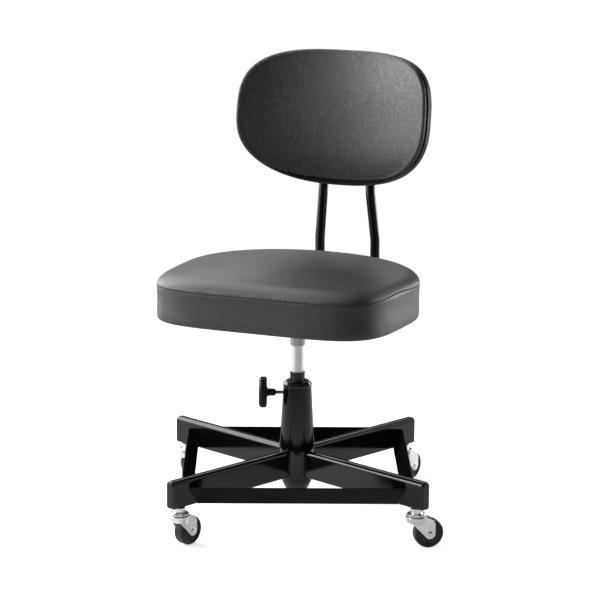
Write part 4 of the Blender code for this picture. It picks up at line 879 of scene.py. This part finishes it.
def blow_up(piece, pressure, cap, held, moments=20):
    """Swell a cover like foam under vinyl; held says how firmly each point is kept."""
    take(piece)
    start = points_of(piece)
    pins = piece.vertex_groups.new(name="held")
    for index, weight in enumerate(held):
        pins.add([index], float(weight), "REPLACE")
    bpy.ops.object.modifier_add(type="CLOTH")
    cloth = piece.modifiers[-1]
    weave = {"quality": 6, "mass": 0.3, "tension_stiffness": 20.0, "compression_stiffness": 20.0,
             "bending_stiffness": 4.0, "use_pressure": True, "uniform_pressure_force": pressure,
             "vertex_group_mass": "held"}
    for key, value in weave.items():
        setattr(cloth.settings, key, value)
    cloth.settings.effector_weights.gravity = 0.0
    cloth.collision_settings.use_collision = False
    cloth.point_cache.frame_start = 1
    cloth.point_cache.frame_end = moments
    for moment in range(1, moments + 1):
        bpy.context.scene.frame_set(moment)
    ready = piece.evaluated_get(bpy.context.evaluated_depsgraph_get())
    move = points_of(ready) - start
    far = np.linalg.norm(move, axis=1, keepdims=True)
    move *= cap * np.tanh(far / cap) / np.maximum(far, 1e-9)
    piece.modifiers.remove(cloth)
    piece.vertex_groups.clear()
    bpy.context.scene.frame_set(1)
    move_points(piece, start + move)
    modify(piece, "SUBSURF", levels=1, render_levels=1)
    bpy.ops.object.shade_smooth()


def mark_seam(piece, run, rise):
    """Keep how far along and above the seam each point lies, for the vinyl to read."""
    for label, values in (("seam_run", run), ("seam_rise", rise)):
        marks = piece.data.attributes.new(label, "FLOAT", "POINT")
        marks.data.foreach_set("value", values.astype(np.float32))


def seat_outline(angle, inset):
    """Seat outline: square-shouldered in front, round behind."""
    rear = np.sin(angle) > 0.0
    reach = np.where(rear, SEAT_REAR, SEAT_FRONT)
    power = np.where(rear, SEAT_ROUNDNESS, SEAT_SQUARENESS)
    x, y = power_curve(angle, SEAT_HALF - inset, reach - inset, power)
    return x * (1.0 + SEAT_TAPER * y / reach), y - SEAT_FORWARD


def seat_share(places, inset):
    """How far out a point of the seat lies towards an inset outline."""
    y = places[:, 1] + SEAT_FORWARD
    reach = np.where(y > 0.0, SEAT_REAR, SEAT_FRONT)
    x = places[:, 0] / (1.0 + SEAT_TAPER * y / reach)
    power = np.where(y > 0.0, SEAT_ROUNDNESS, SEAT_SQUARENESS)
    return power_share(x, y, SEAT_HALF - inset, reach - inset, power)


around = even_angles(seat_outline)
steps = [(0.3716, SEAT_MOUTH), (0.3640, SEAT_MOUTH), (SEAT_BOTTOM, SEAT_MOUTH)]
for swing in QUARTER_TURN:
    steps.append((SEAT_BOTTOM + SEAT_TUCK * (1.0 - math.cos(swing)),
                  SEAT_TUCK * (1.0 - math.sin(swing)) + 0.0006))
for height in (0.3750, 0.3820, 0.3900, 0.3980, 0.4060, 0.4120, 0.4150, 0.4168):
    steps.append((height, BAND_SWELL * math.sin(math.pi * (height - BAND_FOOT) / (SEAM - BAND_FOOT))))
for swing in np.radians((0.0, 4.0, 10.0, 18.0, 28.0, 38.0, 48.0, 58.0, 68.0, 79.0, 90.0)):
    steps.append((SEAM + SHOULDER * math.sin(swing), SHOULDER_RUN * (1.0 - math.cos(swing))))
rings = []
for height, inset in steps:
    x, y = seat_outline(around, inset)
    rings.append(np.stack((x, y, np.full(COVER_POINTS, height)), axis=1))
seat = skin("seat_cover", rings)
places = points_of(seat)
top = places[:, 2] > SEAM + SHOULDER - 1e-4
places[top, 2] += SEAT_CROWN * (1.0 - np.minimum(1.0, seat_share(places, SHOULDER_RUN)[top]) ** 2)
move_points(seat, places)
band = np.clip((SEAM + 0.003 - places[:, 2]) / 0.003, 0.0, 1.0) * 0.9
tacked = np.clip((SEAT_BOTTOM + 0.016 - places[:, 2]) / 0.006, 0.0, 1.0)
blow_up(seat, 3.0, 0.0022, np.maximum(np.maximum(band, tacked), 0.22))
places = points_of(seat)
angle = np.arctan2(places[:, 0], -(places[:, 1] + 0.010))
# The seam climbs a little round the right front corner
rise = places[:, 2] - SEAM - 0.006 * np.exp(-((angle - 1.25) / 0.28) ** 2)
crease = np.exp(-(rise / SEAM_WIDTH) ** 2)[:, None]
move_points(seat, places - points_of(seat, "normal") * crease * SEAM_DEPTH)
mark_seam(seat, angle * 0.19, rise)
fit(set_down(seat, TURN), "seat", vinyl, "black_vinyl", "seat_cushion")

# Backrest shell: foam over the rear of the backrest board under the same vinyl, duller
# here, drawn tight round the edge into the groove between the two halves.
PAD_HOME = TURN @ PAD
PAD_ABOVE = 0.1207
PAD_SQUARENESS = 3.09
PAD_ROUNDNESS = 2.47
PAD_GROOVE = 0.005
SHELL_FRONT = -0.00505
SHELL_ROUND = 0.006
DULL_VINYL_GLOSS = 0.12
NO_SEAM = 0.5


def pad_outline(angle, inset):
    """Backrest outline, squarer above than below."""
    upper = np.sin(angle) > 0.0
    reach = np.where(upper, PAD_ABOVE, PAD_BELOW)
    power = np.where(upper, PAD_SQUARENESS, PAD_ROUNDNESS)
    return power_curve(angle, PAD_WIDTH / 2 - inset, reach - inset, power)


def pad_skin(name, steps):
    """Skin a flat layer of the backrest through rings of a depth and an inset."""
    around = even_angles(pad_outline)
    rings = []
    for depth, inset in steps:
        x, z = pad_outline(around, inset)
        rings.append(np.stack((x, np.full(COVER_POINTS, depth), z), axis=1))
    return skin(name, rings)


def bow(piece, places):
    """Bend a flat layer forward towards both ends."""
    places[:, 1] += pad_bow(places[:, 0])
    move_points(piece, places)


def leave_unsewn(piece):
    """Mark every point of a cover as far from any seam."""
    count = len(piece.data.vertices)
    mark_seam(piece, np.zeros(count), np.full(count, NO_SEAM))


steps = [(SHELL_FRONT, PAD_GROOVE), (SHELL_FRONT, 0.0030), (SHELL_FRONT + 0.0005, 0.0012)]
steps += [(SHELL_FRONT + depth, 0.0) for depth in (0.002, 0.006, 0.011, 0.015)]
for swing in QUARTER_TURN:
    steps.append((SHELL_REAR - SHELL_ROUND * (1.0 - math.sin(swing)), SHELL_ROUND * (1.0 - math.cos(swing))))
shell = pad_skin("rear_shell_cover", steps)
places = points_of(shell)
held = np.clip((0.006 - places[:, 1]) / 0.012, 0.0, 1.0) * 0.9 + 0.1
bow(shell, places)
blow_up(shell, 2.0, 0.0012, held)
leave_unsewn(shell)
dull_vinyl = reglossed(vinyl, "dull_vinyl", DULL_VINYL_GLOSS)
fit(set_down(shell, PAD_HOME), "seat", dull_vinyl, "black_vinyl", "back_shell")

# Backrest cushion: a crowned foam pad in black vinyl on the front of the board, fuller
# below and tucked back along its lower edge. The rim is rolled, duller than the face,
# and drawn back into the groove.
PAD_REAR = -0.00965
PAD_EDGE = -0.01965
PAD_ROLL = 0.008
PAD_SWELL = 0.016
PAD_TUCK = 1.6
PAD_TUCK_LEVEL = -0.045
DULL_RIM = 0.003


def pad_share(places, inset):
    """How far out a point of the backrest lies towards an inset outline."""
    upper = places[:, 2] > 0.0
    reach = np.where(upper, PAD_ABOVE, PAD_BELOW)
    power = np.where(upper, PAD_SQUARENESS, PAD_ROUNDNESS)
    return power_share(places[:, 0], places[:, 2], PAD_WIDTH / 2 - inset, reach - inset, power)


steps = [(PAD_REAR, PAD_GROOVE), (PAD_REAR, 0.0025), (PAD_REAR - 0.0010, 0.0008), (PAD_REAR - 0.003, 0.0),
         (PAD_REAR - 0.0065, -0.0006)]
for swing in QUARTER_TURN:
    steps.append((PAD_EDGE - PAD_ROLL * math.sin(swing), PAD_ROLL * (1.0 - math.cos(swing)) - 0.0010))
pad = pad_skin("front_pad_cover", steps)
places = points_of(pad)
face = places[:, 1] < PAD_EDGE - PAD_ROLL + 1e-4
fullness = 2.0 + np.clip(0.3 - places[:, 2] / 0.10, 0.0, 1.0)
share = np.minimum(1.0, pad_share(places, PAD_ROLL))
places[face, 1] -= PAD_SWELL * (1.0 - share ** fullness)[face]
forward = np.clip((PAD_REAR - places[:, 1]) / (PAD_REAR - PAD_EDGE), 0.0, 1.0)
places[:, 1] += forward * PAD_TUCK * np.clip(PAD_TUCK_LEVEL - places[:, 2], 0.0, None) ** 2
held = np.maximum(np.clip((places[:, 1] + 0.017) / 0.006, 0.0, 1.0), 0.3)
bow(pad, places)
blow_up(pad, 3.0, 0.002, held)
leave_unsewn(pad)
drawn_in = [face.center.y - pad_bow(face.center.x) > PAD_EDGE - DULL_RIM for face in pad.data.polygons]
fit(set_down(pad, PAD_HOME), "seat", vinyl, "black_vinyl", "back_cushion")
pad.data.materials.append(dull_vinyl)
for face, inside in zip(pad.data.polygons, drawn_in):
    face.material_index = int(inside)

# Rod clips: saddle clips of bent steel strip round the rods' upper ends, each held to the
# shell by two round-head screws. Clips enamelled, screws zinc plated.
CLIP_LEVEL = 0.004
EAR_REACH = 0.0172
EAR_FACE = 0.0023 - ROD_RADIUS
head = lathe("clip_screw", rounded([
    (0.0, 0.0020), (0.0012, 0.0019), (0.0024, 0.0013), (0.0031, 0.0), (0.0031, -0.0003), (0.0, -0.0003)],
    0.0003), 32)
bore_out(head, block((0.0, 0.0, 0.0022), (0.010, 0.0008, 0.0018)))
ears = {"left_outer": (-1, -1), "left_inner": (-1, 1), "right_inner": (1, -1), "right_outer": (1, 1)}
for item, (side, ear) in zip(copies(head, ["clip_screw_" + name for name in ears]), ears.values()):
    saddle = PAD @ Matrix.Translation((side * ROD_APART_ABOVE, ROD_REAR, CLIP_LEVEL))
    saddle = saddle @ Matrix.Rotation(-side * rod_slope, 4, "Z")
    outwards = Matrix.Translation((ear * EAR_REACH, EAR_FACE, 0.0)) @ Matrix.Rotation(-math.pi / 2, 4, "X")
    fit(polish(set_down(item, TURN @ saddle @ outwards)), "seat", zinc, "zinc_plate")
for name in sides:
    fit_pressing("saddle_clip_" + name, "rod_clip_" + name, enamel, "black_paint")

# The studio: a plain white paper floor that is clear from below, a white surround and
# ten soft boxes round the chair, most of them on the left as in the photograph.
WARM = (1.0, 0.98, 0.95)
MILD = (1.0, 0.99, 0.97)
COOL = (1.0, 0.99, 0.98)
WHITE = (1.0, 1.0, 1.0, 1.0)
SURROUND = 0.06
scene = bpy.context.scene
scene.view_settings.view_transform = "Standard"
bpy.ops.mesh.primitive_plane_add(size=60.0, location=(0.0, 0.0, -0.0002))
floor = bpy.context.object
floor.name = "studio_floor"
paper, tree, shader, where = new_finish("white_paper")
tooth = grain_of(tree, where, 30.0)
feed(shader, {"Base Color": (0.85, 0.85, 0.85, 1.0), "Roughness": spread(tree, tooth, 0.3, 0.7, 0.9, 0.95),
              "Specular IOR Level": 0.0})
seen = tree.nodes.new("ShaderNodeLightPath").outputs["Is Camera Ray"]
away = add(tree, "ShaderNodeVectorMath", {0: where}, operation="LENGTH").outputs["Value"]
lift = spread(tree, away, 0.4, 2.2, 0.62, 1.0)
glow = add(tree, "ShaderNodeEmission", {"Color": WHITE, "Strength": lift})
nothing = add(tree, "ShaderNodeEmission", {"Strength": 0.0})
lifted = add(tree, "ShaderNodeMixShader", {0: seen, 1: nothing.outputs[0], 2: glow.outputs[0]})
both = add(tree, "ShaderNodeAddShader", {0: shader.outputs[0], 1: lifted.outputs[0]})
clear = tree.nodes.new("ShaderNodeBsdfTransparent")
below = tree.nodes.new("ShaderNodeNewGeometry").outputs["Backfacing"]
one_sided = add(tree, "ShaderNodeMixShader", {0: below, 1: both.outputs[0], 2: clear.outputs[0]})
feed(tree.nodes["Material Output"], {"Surface": one_sided.outputs[0]})
floor.data.materials.append(paper)

world = bpy.data.worlds.new("white_surround")
scene.world = world
world.use_nodes = True
tree = world.node_tree
path = tree.nodes.new("ShaderNodeLightPath").outputs
shown = calc(tree, "MAXIMUM", path["Is Camera Ray"], path["Is Transmission Ray"])
feed(tree.nodes["Background"], {"Color": WHITE, "Strength": calc(tree, "MAXIMUM", shown, SURROUND)})


def soft_box(name, place, target, width, height, power, fan, colour):
    """A large rectangular lamp aimed at a point of the chair."""
    lamp = bpy.data.lights.new(name, "AREA")
    lamp.shape = "RECTANGLE"
    lamp.size = width
    lamp.size_y = height
    lamp.energy = power
    lamp.color = colour
    lamp.spread = math.radians(fan)
    aim = (Vector(target) - Vector(place)).to_track_quat("-Z", "Y")
    new_piece(name, lamp).matrix_world = Matrix.Translation(place) @ aim.to_matrix().to_4x4()


soft_box("left_box", (-1.6, 0.1, 1.40), (0.0, 0.1, 0.85), 1.8, 1.4, 10.0, 64.0, WARM)
soft_box("low_left_box", (-1.5, -0.1, 0.34), (0.0, 0.0, 0.34), 1.2, 0.55, 1.4, 90.0, WARM)
soft_box("front_left_box", (-1.25, -1.1, 1.55), (0.0, 0.0, 0.5), 1.1, 1.1, 1.6, 110.0, WARM)
soft_box("front_box", (0.2, -1.2, 2.2), (0.1, -0.85, 0.0), 1.6, 0.9, 1.2, 70.0, COOL)
soft_box("high_left_box", (-1.3, 1.2, 1.9), (0.0, 0.0, 0.4), 2.4, 1.9, 18.0, 90.0, MILD)
soft_box("back_box", (0.15, 1.9, 1.5), (0.0, 0.0, 0.45), 1.3, 0.8, 1.7, 80.0, MILD)
soft_box("right_strip", (1.2, 0.7, 1.35), (0.0, 0.0, 0.2), 0.25, 1.6, 0.35, 90.0, MILD)
soft_box("low_right_box", (1.5, 0.2, 0.6), (0.0, 0.0, 0.2), 1.0, 0.7, 0.8, 110.0, MILD)
soft_box("rear_left_box", (-1.4, 1.4, 0.65), (-0.3, 0.1, 0.35), 0.8, 1.1, 4.0, 80.0, MILD)
soft_box("rear_right_box", (1.5, 1.0, 0.5), (0.2, 0.0, 0.35), 0.9, 0.8, 2.8, 70.0, MILD)

# Camera: stands where the photograph was taken from, slightly above the seat and almost
# straight in front, with a long lens and a trace of roll.
AZIMUTH = math.radians(-0.704)
PITCH = math.radians(12.137)
ROLL = math.radians(0.455)
AIM_HEIGHT = 0.3805
DISTANCE = 4.0772
level_right = Vector((math.cos(AZIMUTH), math.sin(AZIMUTH), 0.0))
level_back = Vector((math.sin(AZIMUTH), -math.cos(AZIMUTH), 0.0))
backwards = level_back * math.cos(PITCH) + Vector((0.0, 0.0, math.sin(PITCH)))
level_up = backwards.cross(level_right)
camera_right = level_right * math.cos(ROLL) + level_up * math.sin(ROLL)
camera_up = level_up * math.cos(ROLL) - level_right * math.sin(ROLL)
lens = bpy.data.cameras.new("photo_view")
lens.sensor_width = 36.0
lens.sensor_fit = "HORIZONTAL"
lens.lens = 143.233
lens.shift_x = 0.00154
lens.shift_y = -0.00052
lens.clip_end = 200.0
camera = new_piece("photo_view", lens)
stand = Matrix.Translation(COLUMN + Vector((0.0, 0.0, AIM_HEIGHT)) + backwards * DISTANCE)
camera.matrix_world = stand @ Matrix((camera_right, camera_up, backwards)).transposed().to_4x4()
scene.camera = camera

bpy.context.view_layer.update()
